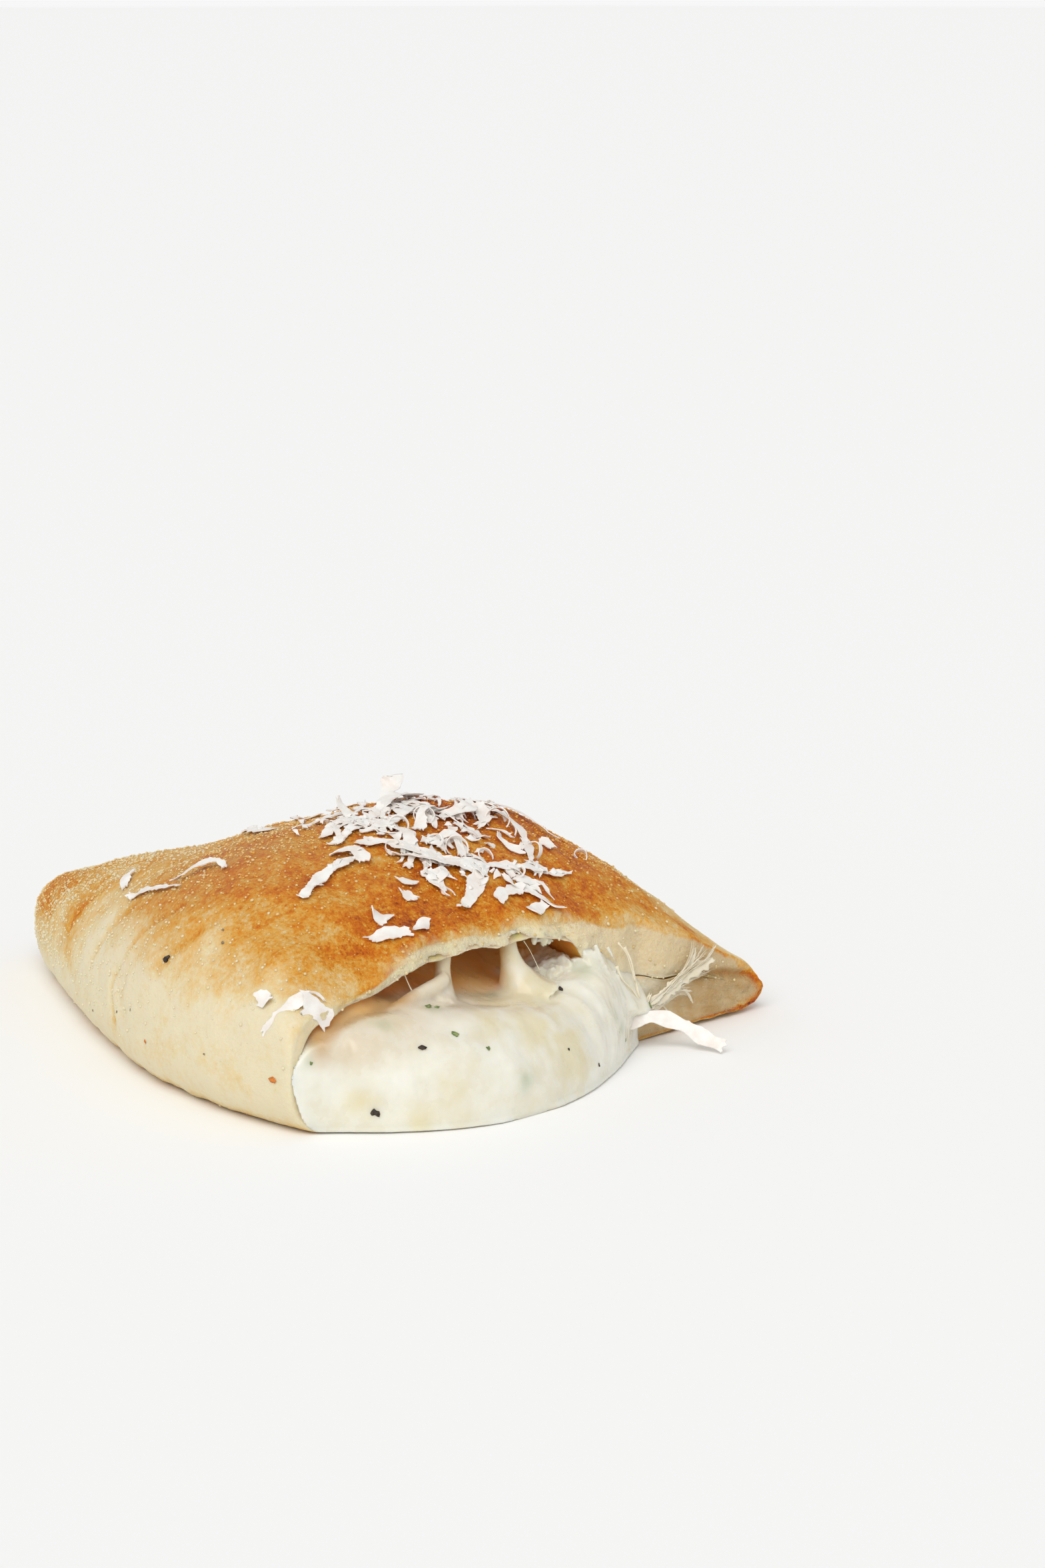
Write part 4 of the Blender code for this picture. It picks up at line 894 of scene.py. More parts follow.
def buildMouthCheese():
    backY, gap = pull["backAt"], cheese["gap"]
    full = asRow(insideRing(backY, *pull["around"]), backY)
    middle = full.mean(axis=0)
    rows = [middle] + [middle + (full - middle) * share for share in np.linspace(0, 1, 8)[1:]]
    rows += [asRow(insideRing(y, *pull["around"]), y) for y in np.linspace(backY, -gap, 50)[1:]]
    for y in np.minimum(-cheese["out"] * np.sin(np.linspace(0, math.pi / 2, 60))[1:-1], -gap * 1.7):
        rows.append(asRow(flowRing(y, *pull["around"]), y))
    rows.append(np.array([cheese["middle"], -cheese["out"], cheese["foot"]]))
    parts = [ballOfRows("mouthCheese", rows)[0]] + [neckOfCheese(neck) for neck in pull["necks"]]
    s = np.linspace(-1, 1, 30)
    for path, radius in pull["swags"]:
        parts.append(drawnTube(smoothPath(path, 30), radius * (1 - 0.35 * s ** 4), 16))
    thick, slim, end = pull["curtainThick"]
    for i, (low, high) in enumerate(zip(*(smoothPath(pull[key], pull["curtainRopes"])
                                          for key in ("curtainLow", "curtainHigh")))):
        middle = (low + high) / 2 + (0.12 * math.sin(i * 1.3), -0.35, 0.15 * math.sin(i * 0.9))
        t = np.linspace(0, 1, 26)
        radii = thick * (1 - t) ** 2 + slim * 2 * t * (1 - t) + end * t ** 2
        parts.append(drawnTube(smoothPath([low, middle, high], 26), radii * (1 + 0.1 * math.sin(i * 0.8))))
    for path, thick, slim in pull["ropes"]:
        parts.append(drawnTube(smoothPath(path, 30), slim + (thick - slim) * np.abs(s) ** 2.5))
    for place, radius in pull["lipDrops"]:
        t = np.linspace(-1, 1, 9)
        path = np.array(place) + np.outer(t * radius * 1.3, (0.2, 0.1, 1))
        parts.append(drawnTube(path, radius * np.sqrt(np.clip(1.05 - t ** 2, 0.02, 1))))
    made = joinPieces(parts, "mouthCheese")
    applyModifier(made, "REMESH", mode="VOXEL", voxel_size=pull["voxel"] * mm, use_smooth_shade=True)
    applyModifier(made, "SMOOTH", factor=0.5, iterations=6)

    points, normals = toDesign(readPoints(made)), readNormals(made)
    x, y, z = points.T
    # the cheese fills the fold and leaves no gap to the dough there
    pressed = pull["press"] * fade(2, 9, x) * ease(-4, -0.5, y)
    pressed += pull["overFold"] * fade(8, 11.5, z) * fade(0.5, 4, x) * ease(-4, -0.6, y) * (y < 0)
    x -= pressed
    shown = fade(8, 14, y)
    lift = relief(points, *pull["swell"]) * shown
    lift += relief(points * (1.6, 1, 1), *pull["lumps"]) * shown
    for path, height, width in pull["ridges"]:
        lift += height * bell(distanceToPath(points, path), width)
    # torn curd at the top right of the mouth
    torn = band(39, 42, 49, 52, x) * ease(-0.6, 0.8, y) * shown
    lift += torn * (np.abs(relief(points, *pull["curd"])) - 0.2) * ease(9, 10.5, z)
    # fine pleats that sweep down the right end
    sweep = x + 0.45 * y - 0.25 * z
    pleats = band(38, 46, 56, 60, x) * ease(0, 3, -y)
    lift += pull["pleat"] * np.sin(sweep * 4.2 + 2.5 * roughField(points, 4.0, 14)) * pleats
    lift *= ease(-0.1, 1.2, z)
    points += normals * lift[:, None]
    # it wets the paper and thins out there, with no overhang
    outward = np.hypot(normals[:, 0], normals[:, 1])
    foot = pull["wets"] * fade(0, 1.1, z) * ease(0.15, 0.7, outward) * ease(0, 1, -y)
    points[:, :2] += normals[:, :2] * foot[:, None]
    points[:, 2] = np.maximum(z, 0)
    writePoints(made, toFrame(points))

    # painted glow and shade: the cheese deep in the mouth and just under the roof is tinted orange-brown for
    # light through the roof and the shade there
    depth = y + relief(points, *pull["glowEdge"])
    behindCurd = ease(37.5, 40.0, x) * fade(5.5, 7.5, y)
    under = roofOver(x, np.maximum(y, 0)) - z
    nearRoof = fade(0.4, 3.4, under) * ease(-0.3, 1.2, depth) * band(1.5, 4.0, 13, 20, x)
    nearRoof = np.maximum(nearRoof, fade(0.6, 3.2, under) * ease(1.0, 4.0, depth))
    # painted shade under the lip, and a fainter painted shade further down the cheese under the roof
    fatty = np.maximum(0.9 * ease(-3.4, -0.2, depth) * fade(16, 22, x),
                       0.26 * ease(-10, -3, depth) * fade(28, 42, x))
    writeValues(made, soaked=np.maximum(ease(0.6, 5.0, depth) * (1 - behindCurd), nearRoof),
                fatty=fatty * ease(0.5, 3.0, x) * ease(7, 10, z))
    wobble = 1 + relief(points, *pull["stainEdge"])
    stains = {name: sum(bell(np.linalg.norm(points - place, axis=1), reach * wobble)
                        for *place, reach in marks) for name, marks in cheeseMarks.items()}
    # the drawn-out necks and the underside of the roof's edge are thin and yellower
    stains["oilAndShade"] += 0.6 * ease(13.8, 16.5, z) * (y < 3)
    writeValues(made, **{name: np.clip(amount, 0, 1) for name, amount in stains.items()})
    return finished(made)


def buildCoreCheese():
    start, end = pull["backAt"] - 1.0, crust["hollowLength"]
    x, roof, _ = hollow(np.array([0.5]), end)
    rows = [np.array([x[0], end - cheese["gap"] * 2, roof[0]])]
    for y in end - (end - start) * np.linspace(0, 1, 46)[1:] ** 1.3:
        rows.append(asRow(insideRing(y, *pull["aroundCore"]), y))
    last, middle = rows[-1], rows[-1].mean(axis=0)
    rows += [middle + (last - middle) * share for share in (0.8, 0.5, 0.25)] + [middle]
    made = ballOfRows("coreCheese", rows)[0]
    writeValues(made, soaked=1, fatty=0)
    return finished(made)


# Fine strands of cheese, and torn webs that fan over the lower dough: paths, radii and widths
strands = {
    "threads": [([(18, 1, 17.3), (18.5, 0.8, 15.9), (19.3, 0.4, 13.9)], 0.075),
                ([(38.9, 1.2, 17.2), (39.6, 0.8, 15.9), (41, 0.4, 13)], 0.04),
                ([(55.6, -0.3, 13.6), (56.1, -1, 12), (56.6, -1.3, 9.6), (57.3, -1.6, 6.2)], 0.13),
                ([(54.6, -0.2, 14.4), (55.5, -0.9, 12.8), (56, -1.2, 11), (56.6, -1.4, 9)], 0.07),
                ([(53.2, -1.3, 11.7), (53.9, -1.6, 10), (55.8, -1.7, 8.1), (57.4, -1.7, 6)], 0.12)],
    "webs": [([(56.4, -1.9, 4.9), (60.6, -1.6, 6.2), (63.8, -1.3, 7.2), (66.4, -1.1, 8.4), (68, -1, 10),
               (68.4, -1.0, 11.2)], 2.0),
             ([(57, -1.9, 4.4), (61.5, -1.6, 5.9), (65.6, -1.2, 7.5), (69.4, -1, 8.6),
               (71.9, -0.9, 9.3)], 2.6),
             ([(57.4, -1.9, 4), (61.5, -1.6, 5), (65, -1.2, 6.1), (67.6, -1.1, 5.6)], 1.3),
             ([(64.6, -1.2, 7.2), (66, -1.1, 6.2), (67.3, -1, 5), (68, -0.9, 3.9)], 0.7),
             ([(61, -1.5, 5.6), (62.2, -1.3, 4.6), (63.2, -1.2, 3.4)], 0.6),
             ([(69, -1, 8.5), (71.2, -0.9, 9.8), (72.6, -0.8, 10.9)], 0.6),
             ([(66.8, -1.1, 8.8), (69.2, -0.9, 10.4), (70.4, -0.8, 11.4)], 0.4),
             ([(57.2, -2, 4.4), (58.4, -1.8, 5.8), (59.2, -1.6, 6.9)], 0.9)],
    "webFacing": (-0.5, -0.85, 0.15), "webThick": 0.06, "webShare": 0.5, "webRagged": 1.3,
    "webStep": 0.22, "webSeeds": 500,
    # single torn fibres that fan out along each web
    "fibres": 15, "fibreSteps": 12, "fibreRadius": (0.03, 0.065), "seed": 21,
}


def buildStrands():
    draw = random.Random(strands["seed"])
    pieces = []
    for path, radius in strands["threads"]:
        s = np.linspace(-1, 1, 16)
        pieces.append(drawnTube(smoothPath(path, 16), radius * (1 + 1.6 * np.abs(s) ** 4), 8))
    steps = strands["fibreSteps"]
    for path, width in strands["webs"]:
        for _ in range(int(strands["fibres"] * width)):
            start, stop = draw.uniform(0, 0.5), draw.uniform(0.7, 1.0)
            spine = smoothPath(path, 60)[np.rint(59 * np.linspace(start, stop, steps)).astype(int)]
            away = np.linspace(start, stop, steps)[:, None] ** 1.3 * draw.uniform(-1.0, 1.0) * width
            side = np.array([-0.5, draw.uniform(-0.35, 0.05), 0.8])
            waver = np.array([[draw.gauss(0, 0.03) for _ in range(3)] for _ in range(steps)])
            radius = draw.uniform(*strands["fibreRadius"]) * (1.2 - 0.8 * np.linspace(0, 1, steps))
            pieces.append(drawnTube(spine + away * side + waver, radius, 6))
    return finished(joinPieces(pieces, "cheeseStrands"))


def sheetAlong(path, width, facing, step, least, seed, ragged):
    # a torn sheet along a smooth path, with about one row of faces for each step
    steps = max(int(np.linalg.norm(np.diff(path, axis=0), axis=1).sum() / step), least)
    return curledSheet(smoothPath(path, steps), np.tile(facing, (steps, 1)), width, seed, ragged)


def buildWebs():
    sheets = [sheetAlong(path, width * strands["webShare"], strands["webFacing"], strands["webStep"], 8,
                         strands["webSeeds"] + seed, strands["webRagged"])
              for seed, (path, width) in enumerate(strands["webs"])]
    made = joinPieces(sheets, "tornWebs")
    applyModifier(made, "SOLIDIFY", thickness=strands["webThick"] * mm, offset=0, use_even_offset=False)
    return finished(made)


# Shreds on the dough: X and Y at both ends, sideways bow, width, lift of the middle (of the far end
# where negative)
shreds = {
    "placed": [
        (11.7, 12.8, 25.2, 16, 0.9, 1.4, 0.3), (21.4, 18.2, 24, 14.4, 1.6, 1.7, 0.6),
        (26.6, 18.6, 34.5, 10.8, -0.3, 1.6, 0.5), (27.8, 19.6, 41.9, 24.6, -1.4, 1, 0.6),
        (32.1, 19.7, 30.9, 14.2, 1.2, 1.3, 0.5), (35.8, 17.3, 44.3, 21.3, 1.3, 1.2, 1.4),
        (35.6, 24.2, 44.2, 27, 0.8, 2.2, 1.2), (23.4, 22.1, 32.5, 23.6, 0.8, 1.2, 0.4),
        (23.5, 20, 31.8, 21.6, 0.3, 1.2, 0.2), (42.2, 20.2, 48.6, 20.8, -1.2, 1.8, 1.2),
        (48.6, 20.8, 45.1, 16.4, 0.8, 1.5, 0.6), (43, 15.5, 44.6, 13.9, 0, 1.9, 0),
        (48.7, 22, 47.2, 8.6, 2.6, 1.2, 0.7), (49.5, 24.5, 50.8, 18.1, 0.6, 1.2, 0.3),
        (51.5, 24.5, 58.3, 15.3, 1.6, 0.8, 0.5), (47.3, 14.8, 47.9, 11, -1.5, 0.9, 0.3),
        (34.9, 14.6, 37.4, 11.2, 3.2, 1.2, 1), (28.4, 14.2, 38.3, 8.3, -0.4, 2.2, 0.5),
        (35.2, 11, 53.9, 7.8, -1.6, 1.1, 0.4), (38.3, 8.6, 31.1, 4.6, 0.3, 2, 0.2),
        (30.2, 10.4, 30.2, 7.2, 0.2, 1.7, 0), (25.1, 9.9, 26.9, 8.6, 0, 1.4, 0),
        (24.1, 8, 24.9, 6.5, 0, 1.5, 0), (18.6, 7.4, 19.2, 5.1, 0, 2.2, 0),
        (15.7, 4.3, 20.8, 2.8, 0.2, 1.7, 0), (21.6, 3, 24.4, 3.3, 0, 1.5, 0.2),
        (36.9, 3.8, 42.3, 5.2, 0.5, 1.4, 0.2), (42.9, 5.9, 46.2, 2, -0.4, 1.2, 0.2),
        (41, 2.2, 44.2, 2.8, 0, 1.6, 0), (53.4, 13.3, 53.9, 11.5, 0, 1.5, 0.2),
        (42.2, 6.6, 45.8, 5.4, 0.2, 1.3, 0.2), (10.8, 36.3, 12.3, 27.8, 1.8, 0.9, 0.8),
        (15.4, 52.6, 19.2, 55.5, 0.4, 1.2, 0.3), (11.4, 46.8, 9.5, 33.9, 0.4, 0.9, 0.2),
        (-0.2, 7, 0.6, 4.9, 0, 1.4, 0), (31.5, 25.5, 31, 27.2, 0, 1.3, -3),
        (38, 26.5, 43, 29, 0.5, 2.3, -3),
    ],
    # an even scatter behind the crest, as in the solid
    "behind": 16, "behindX": (26, 62), "behindY": (21, 42), "seed": 7,
    # shavings that rolled up: X and Y, radius, heading and lean in degrees, width
    "curls": [(37.7, 12.5, 1.5, -30, 55, 0.7), (49.6, 10.7, 1.3, -80, 60, 0.8),
              (38.4, 19.5, 1.4, -50, 50, 0.6), (40.8, 10.3, 1, -10, 45, 0.6),
              (43.5, 7.2, 0.9, -60, 40, 0.5), (31, 6.8, 0.9, 20, 30, 0.6),
              (48.7, 16.5, 1.6, -45, 60, 0.8), (59.6, 11.9, 0.9, -30, 35, 0.5),
              (35.5, 14.4, 1.2, -70, 45, 0.5), (28.9, 14.7, 1.1, -20, 40, 0.6),
              (45.4, 18.6, 1.3, 10, 55, 0.6), (33.5, 19, 1.3, -40, 50, 0.5)],
    # small flakes and broken shreds between the long ones
    "flakeHeart": [(34, 13, 7, 4), (44, 19, 7, 5), (29, 20, 5, 3), (36, 23, 6, 4), (32, 26, 7, 3),
                   (40, 8, 7, 3), (50, 27, 7, 5)],
    "flakes": 230, "flakeLength": (0.6, 3.6), "flakeWidth": (0.35, 1.3), "flakeSeed": 5,
    "tablePath": [(54.6, -1.2, 3.6), (58.2, -3, 4.2), (60.9, -5.8, 3.1), (62.5, -8.8, 1.5),
                  (63.1, -11.2, 0.95)],
    "tableWidth": 2.3, "tableFacing": (-0.45, -0.5, 0.75), "tableSeed": 1316, "tableRagged": 0.4,
    # a broad flake over the corner where the lip begins, and the strip and the curl that run on from it
    "corner": [([(1.8, 1.3, 16), (2.9, 0.8, 15.5), (4, 0.3, 14.7), (5, -0.1, 13.6)], 3.1, 1218),
               ([(-1.55, 4.6, 11.8), (-1, 3.6, 13.2), (0.1, 3, 14.7), (1.4, 2.3, 15.9),
                 (2.9, 1.6, 16.6)], 1.7, 948),
               ([(2.6, 1.9, 16.7), (3.4, 1.9, 17), (4.4, 1.6, 16.8), (5, 0.8, 16)], 0.4, 1316)],
    "cornerFacing": (-0.6, -0.7, 0.4),
    "thick": 0.18, "step": 0.3, "across": 6, "flakeAcross": 3, "wider": 1.3, "cornerRagged": 0.7,
    # torn edges: how far, then strength and length of two waves, then strength, length and start of the nicks
    "ragged": 0.34, "tear": [(0.7, 1.6), (0.6, 0.55)], "nicks": (2.4, 0.8, 0.24),
    # how wide the two ends are, from broken off square to drawn out to a point
    "ends": [(1.0, 0.9, 0.7, 0.25), (1.0, 0.85, 0.5, 0.2)], "endLength": 3.0,
    # how far a shred curls up, twists, ripples (strength and length) and leans to and fro (the same)
    "curl": 0.35, "twist": 0.45, "ripple": (0.16, 1.5), "leaning": (0.5, 3.0),
    "flakeSeeds": 1000, "curlSeeds": 700, "endSeeds": 3000, "grain": (0.025, 0.6, 31),
    # torn side shards on the long shreds: every so many millimetres, length and width
    "shardEvery": 3, "shardLength": (0.8, 2.4), "shardWidth": (0.3, 0.8), "shardLean": (0.2, 0.7),
    "shardSeed": 17,
}


def unit(vectors):
    return vectors / np.maximum(np.linalg.norm(vectors, axis=-1, keepdims=True), 1e-9)


def curledSheet(path, facing, width, seed, ragged=1.0, across=None):
    # a grid primitive laid along the path: torn edges, ends curled up, slightly twisted
    draw = random.Random(seed)
    steps, across = len(path), across or shreds["across"]
    selectOnly()
    bpy.ops.mesh.primitive_grid_add(x_subdivisions=steps - 1, y_subdivisions=across, size=2)
    made = bpy.context.object
    was = readPoints(made)
    row, j = np.rint((was[:, 0] + 1) / 2 * (steps - 1)).astype(int), was[:, 1]
    arc = np.concatenate([[0], np.cumsum(np.linalg.norm(np.diff(path, axis=0), axis=1))])
    gone, length = arc[row], arc[-1]
    s = gone / length
    along = unit(np.gradient(path, axis=0))
    side = unit(np.cross(facing, along))
    up = np.cross(along, side)
    phase, twist = draw.uniform(0, 60), draw.gauss(0, shreds["twist"])

    def wave(edge, size):
        return np.array([noise.noise(Vector((a / size + phase, b * 3.1, seed * 0.37)))
                         for a, b in zip(gone, edge)])

    onEdge, inMiddle = np.sign(j), 0 * j
    power, size, start = shreds["nicks"]
    tear = sum(strength * wave(onEdge, long) for strength, long in shreds["tear"])
    tear += power * np.clip(wave(onEdge, size) - start, 0, None)
    first, last = (draw.choice(ends) for ends in shreds["ends"])
    reachIn = np.clip(length * 0.4, 0.3, shreds["endLength"])
    closing = np.minimum(first + (1 - first) * np.clip(s * length / reachIn, 0, 1),
                         last + (1 - last) * np.clip((1 - s) * length / reachIn, 0, 1))
    wide = width / 2 * (0.85 + 0.15 * np.sin(gone * 1.3 + phase)) * closing
    limit = min(shreds["ragged"] * ragged, width * 0.4)
    reach = wide * j + limit * tear * np.abs(j) ** 2 * np.sign(j)
    slant = draw.uniform(-0.6, 0.6)
    endTear = np.array([noise.noise(Vector((b * 2.3 + phase, 7.7, seed * 0.61))) for b in j])
    slide = (slant * j * width / 2 + min(0.8, length * 0.25) * endTear) * np.abs(2 * s - 1) ** 6
    curlUp = shreds["curl"] * draw.uniform(-0.2, 1.0) * width / 2 * j ** 2 * 0.5
    (rippled, rippleLong), (leaned, leanLong) = shreds["ripple"], shreds["leaning"]
    ripple = rippled * wave(inMiddle, rippleLong) * min(width, 1.2)
    lean = twist * (2 * s - 1) + draw.gauss(0, 0.15) + leaned * wave(inMiddle, leanLong)
    points = (path[row] + side[row] * (reach * np.cos(lean))[:, None] + along[row] * slide[:, None]
              + up[row] * (curlUp + ripple + reach * np.sin(lean) * 0.8)[:, None])
    writePoints(made, toFrame(points))
    thin = made.vertex_groups.new(name="body")
    weight = 1 - 0.75 * np.abs(j) ** 3 * (0.6 + 0.4 * np.sin(gone * 2.1 + phase))
    for i, w in enumerate(weight):
        thin.add([i], float(np.clip(w, 0.1, 1)), "REPLACE")
    return made


def spanned(x, y, heading, length):
    # both ends of a shred about its middle
    dx, dy = length / 2 * math.cos(heading), length / 2 * math.sin(heading)
    return x - dx, y - dy, x + dx, y + dy


def bowed(shred, s):
    # the place at a share of the length of a shred that bows sideways
    x0, y0, x1, y1, bow, _, _ = shred
    reach = max(math.hypot(x1 - x0, y1 - y0), 0.1)
    arc = bow * 4 * s * (1 - s)
    return x0 + (x1 - x0) * s - (y1 - y0) / reach * arc, y0 + (y1 - y0) * s + (x1 - x0) / reach * arc, reach


def scatterBehind():
    draw = random.Random(shreds["seed"])
    (lowX, highX), (lowY, highY) = shreds["behindX"], shreds["behindY"]
    for i in range(shreds["behind"]):
        x = lowX + (highX - lowX) * ((i * 0.618) % 1)
        y = lowY + (highY - lowY) * (i + 0.5) / shreds["behind"]
        yield (*spanned(x, y, draw.uniform(0, math.pi), draw.uniform(3, 9)),
               draw.uniform(-1, 1), draw.uniform(0.9, 1.8), draw.uniform(0, 0.5))


def scatterFlakes():
    draw = random.Random(shreds["flakeSeed"])
    low, high = shreds["flakeLength"]
    for _ in range(shreds["flakes"]):
        x, y, reachX, reachY = draw.choice(shreds["flakeHeart"])
        x, y = draw.gauss(x, reachX * 0.6), max(draw.gauss(y, reachY * 0.6), 2.0)
        heading, length = draw.uniform(0, math.pi), low + (high - low) * draw.random() ** 2
        yield (*spanned(x, y, heading, length), draw.uniform(-0.5, 0.5) * length / 3,
               draw.uniform(*shreds["flakeWidth"]), draw.uniform(0, 0.5))


def sideShards(laid):
    # short torn bits that branch off the long shreds
    draw = random.Random(shreds["shardSeed"])
    for shred in laid:
        x0, y0, x1, y1, _, width, lift = shred
        reach = math.hypot(x1 - x0, y1 - y0)
        many = int(reach / shreds["shardEvery"]) if reach > 4 and width > 1.0 and min(y0, y1) > 3 else 0
        for _ in range(many):
            s, turned = draw.uniform(0.1, 0.95), draw.choice((-1, 1)) * draw.uniform(*shreds["shardLean"])
            x, y, _ = bowed(shred, s)
            heading = math.atan2(y1 - y0, x1 - x0) + turned
            length, wide = draw.uniform(*shreds["shardLength"]), draw.uniform(*shreds["shardWidth"])
            high = max(lift, 0) * math.sin(s * math.pi)
            yield (x, y, x + length * math.cos(heading), y + length * math.sin(heading),
                   draw.uniform(-0.2, 0.2), wide, min(high + draw.uniform(0, 0.3), 0.8))


def skinUnder(skin, x, y):
    # height and direction of the dough's skin under each place
    heights, normals = [], []
    for px, py in zip(x, y):
        hit, normal, _, _ = skin.ray_cast(Vector(toFrame([(px, py, 100)])[0]), Vector((0, 0, -1)))
        heights.append(hit.z / mm if hit else 3.0)
        normals.append(tuple(normal) if hit else (0, 0, 1))
    return np.array(heights), np.array(normals)


def layShred(shred, skin, seed, across=None):
    x0, y0, x1, y1, _, width, lift = shred
    draw = random.Random(seed + shreds["endSeeds"])
    reach = max(math.hypot(x1 - x0, y1 - y0), 0.1)
    steps = int(np.clip(round((reach + abs(lift) * (lift < 0)) / shreds["step"]), 4, 60)) + 1
    s = np.linspace(0, 1, steps)
    x, y, _ = bowed(shred, s)
    heights, normals = skinUnder(skin, x, y)
    # a shred bridges the small dips under it
    if steps > 6:
        evened = np.convolve(np.pad(heights, 2, mode="edge"), np.ones(5) / 5, mode="valid")
        heights = np.maximum(heights, evened)
    facing = unit(normals.mean(axis=0)[None] * 0.7 + normals * 0.3)
    raised = lift * np.sin(s * math.pi) if lift >= 0 else -lift * s ** 1.5
    # loose ends stand off the skin a little
    ends = draw.uniform(0, 0.5) * np.clip(1 - s * reach / 1.6, 0, 1) ** 2
    ends += draw.uniform(0, 0.6) * np.clip(1 - (1 - s) * reach / 1.6, 0, 1) ** 2
    path = np.stack([x, y, heights], axis=-1) + facing * (raised + ends * min(reach / 4, 1) + 0.2)[:, None]
    return curledSheet(path, facing, width * shreds["wider"], seed, across=across)


def rolledShaving(curl, skin, seed):
    # an open hoop that stands on the skin
    x, y, radius, heading, lean, width = curl
    heading, lean = math.radians(heading), math.radians(lean)
    heights, _ = skinUnder(skin, [x], [y])
    turn = np.radians(np.linspace(-35, 225, max(int(radius * 22), 14)))
    flat = np.array([math.cos(heading), math.sin(heading), 0])
    rise = np.array([-math.sin(heading) * math.cos(lean), math.cos(heading) * math.cos(lean),
                     math.sin(lean)])
    away = np.outer(np.cos(turn), flat) + np.outer(np.sin(turn), rise)
    centre = np.array([x, y, heights[0] + 0.57 * radius * math.sin(lean) + 0.15])
    tighter = np.linspace(1.1, 0.8, len(turn))[:, None]
    return curledSheet(centre + away * radius * tighter, away, width, seed, 0.5, 4)


def buildShreds(skin):
    laid = [*shreds["placed"], *scatterBehind()]
    small = [*sideShards(laid), *scatterFlakes()]
    sheets = [layShred(shred, skin, seed) for seed, shred in enumerate(laid)]
    sheets += [layShred(flake, skin, shreds["flakeSeeds"] + seed, shreds["flakeAcross"])
               for seed, flake in enumerate(small)]
    sheets += [rolledShaving(curl, skin, shreds["curlSeeds"] + seed)
               for seed, curl in enumerate(shreds["curls"])]
    table = smoothPath(shreds["tablePath"], 44)
    facing = np.tile(shreds["tableFacing"], (44, 1))
    sheets.append(curledSheet(table, facing, shreds["tableWidth"], shreds["tableSeed"],
                              shreds["tableRagged"]))
    sheets += [sheetAlong(path, width, shreds["cornerFacing"], shreds["step"], 6, seed,
                          shreds["cornerRagged"]) for path, width, seed in shreds["corner"]]
    made = joinPieces(sheets, "gratedCheese")
    applyModifier(made, "SOLIDIFY", thickness=shreds["thick"] * mm, offset=0, use_even_offset=False,
                  vertex_group="body", thickness_vertex_group=0.15)
    points = toDesign(readPoints(made))
    points += unit(readNormals(made)) * relief(points, *shreds["grain"])[:, None]
    writePoints(made, toFrame(points))
    selectOnly(finished(made))
    bpy.ops.object.shade_smooth_by_angle(angle=math.radians(38))
    return made


# Semolina from the bench: hard pale grains baked on, thickest behind and on the tip, and along the lower
# edge; and loose crumbs of bread
semolina = {
    "grains": 9500, "size": (0.08, 0.24), "seed": 3,
    "spread": [(20, 34, 12, 14, 1), (26, 70, 9, 12, 0.9), (40, 26, 14, 8, 0.6), (44, 45, 16, 14, 0.9),
               (62, 20, 10, 14, 0.6)],
    "everywhere": 0.14, "paler": 0.24, "edgeGrains": 160,
    "crumbs": 70, "crumbSize": (0.1, 0.26), "crumbSeed": 8,
    # seeds for how the grains, the crumbs and the flecks below are turned
    "turnSeeds": {"grains": 4, "crumbs": 9, "flecks": 12},
}


def scatterGrains(name, places, normals, sizes, seed, flat=0.75, detail=1, rough=0.15, tints=None):
    # one little ball with a few faces, copied into one mesh, each copy turned, squashed and sized
    draw = random.Random(seed)
    selectOnly()
    bpy.ops.mesh.primitive_ico_sphere_add(subdivisions=detail, radius=1)
    made = bpy.context.object
    made.name = made.data.name = name
    ball = readPoints(made)
    faces = [tuple(f.vertices) for f in made.data.polygons]
    points, allFaces = [], []
    for i, (place, normal, size) in enumerate(zip(places, normals, sizes)):
        turn = Matrix.Rotation(draw.uniform(0, 6.3), 3, "Z")
        stand = Vector(normal).to_track_quat("Z", "Y").to_matrix()
        shape = np.array(stand @ turn) @ np.diag([size * draw.uniform(0.8, 1.4), size, size * flat])
        shift = Vector((i * 1.7, i * 0.9, seed))
        uneven = [1 + rough * 2.2 * noise.noise(Vector(corner) * 1.1 + shift) for corner in ball]
        points.append((ball * np.array(uneven)[:, None]) @ shape.T + place)
        allFaces += [tuple(k + i * len(ball) for k in f) for f in faces]
    made.data.clear_geometry()
    made.data.from_pydata([tuple(p) for p in toFrame(np.concatenate(points))], [], allFaces)
    if tints is not None:
        writeValues(made, browning=np.repeat(tints, len(ball)))
    return finished(made)


def pick(chance, count, draw):
    total = np.cumsum(chance)
    return np.searchsorted(total, [draw.random() * total[-1] for _ in range(count)])


def buildSemolina(dough):
    draw = random.Random(semolina["seed"])
    points, normals = toDesign(readPoints(dough)), readNormals(dough)
    skin, brown = readValue(dough, "skin"), readValue(dough, "browning")
    x, y, z = points.T
    chance = semolina["everywhere"] + spreadPatches(x, y, semolina["spread"])
    chance *= 0.25 * ease(3, 14, z) + 0.75 * ease(14, 24, z + 0.35 * y)
    chance *= (skin > 0.5) * (normals[:, 2] > -0.2)
    lowEdge = (skin > 0.5) * (z > 0.05) * (z < 1.6) * (y > 0.5)
    picked = np.concatenate([pick(chance, semolina["grains"], draw),
                             pick(lowEdge, semolina["edgeGrains"], draw)])
    low, high = semolina["size"]
    sizes = np.array([low + (high - low) * draw.random() ** 1.6 for _ in picked])
    places = points[picked] + normals[picked] * (sizes * 0.2)[:, None]
    tints = np.clip(brown[picked] - semolina["paler"] + [draw.gauss(0, 0.08) for _ in picked], 0, 1)
    return scatterGrains("semolinaGrains", places, normals[picked], sizes, semolina["turnSeeds"]["grains"],
                         tints=tints)


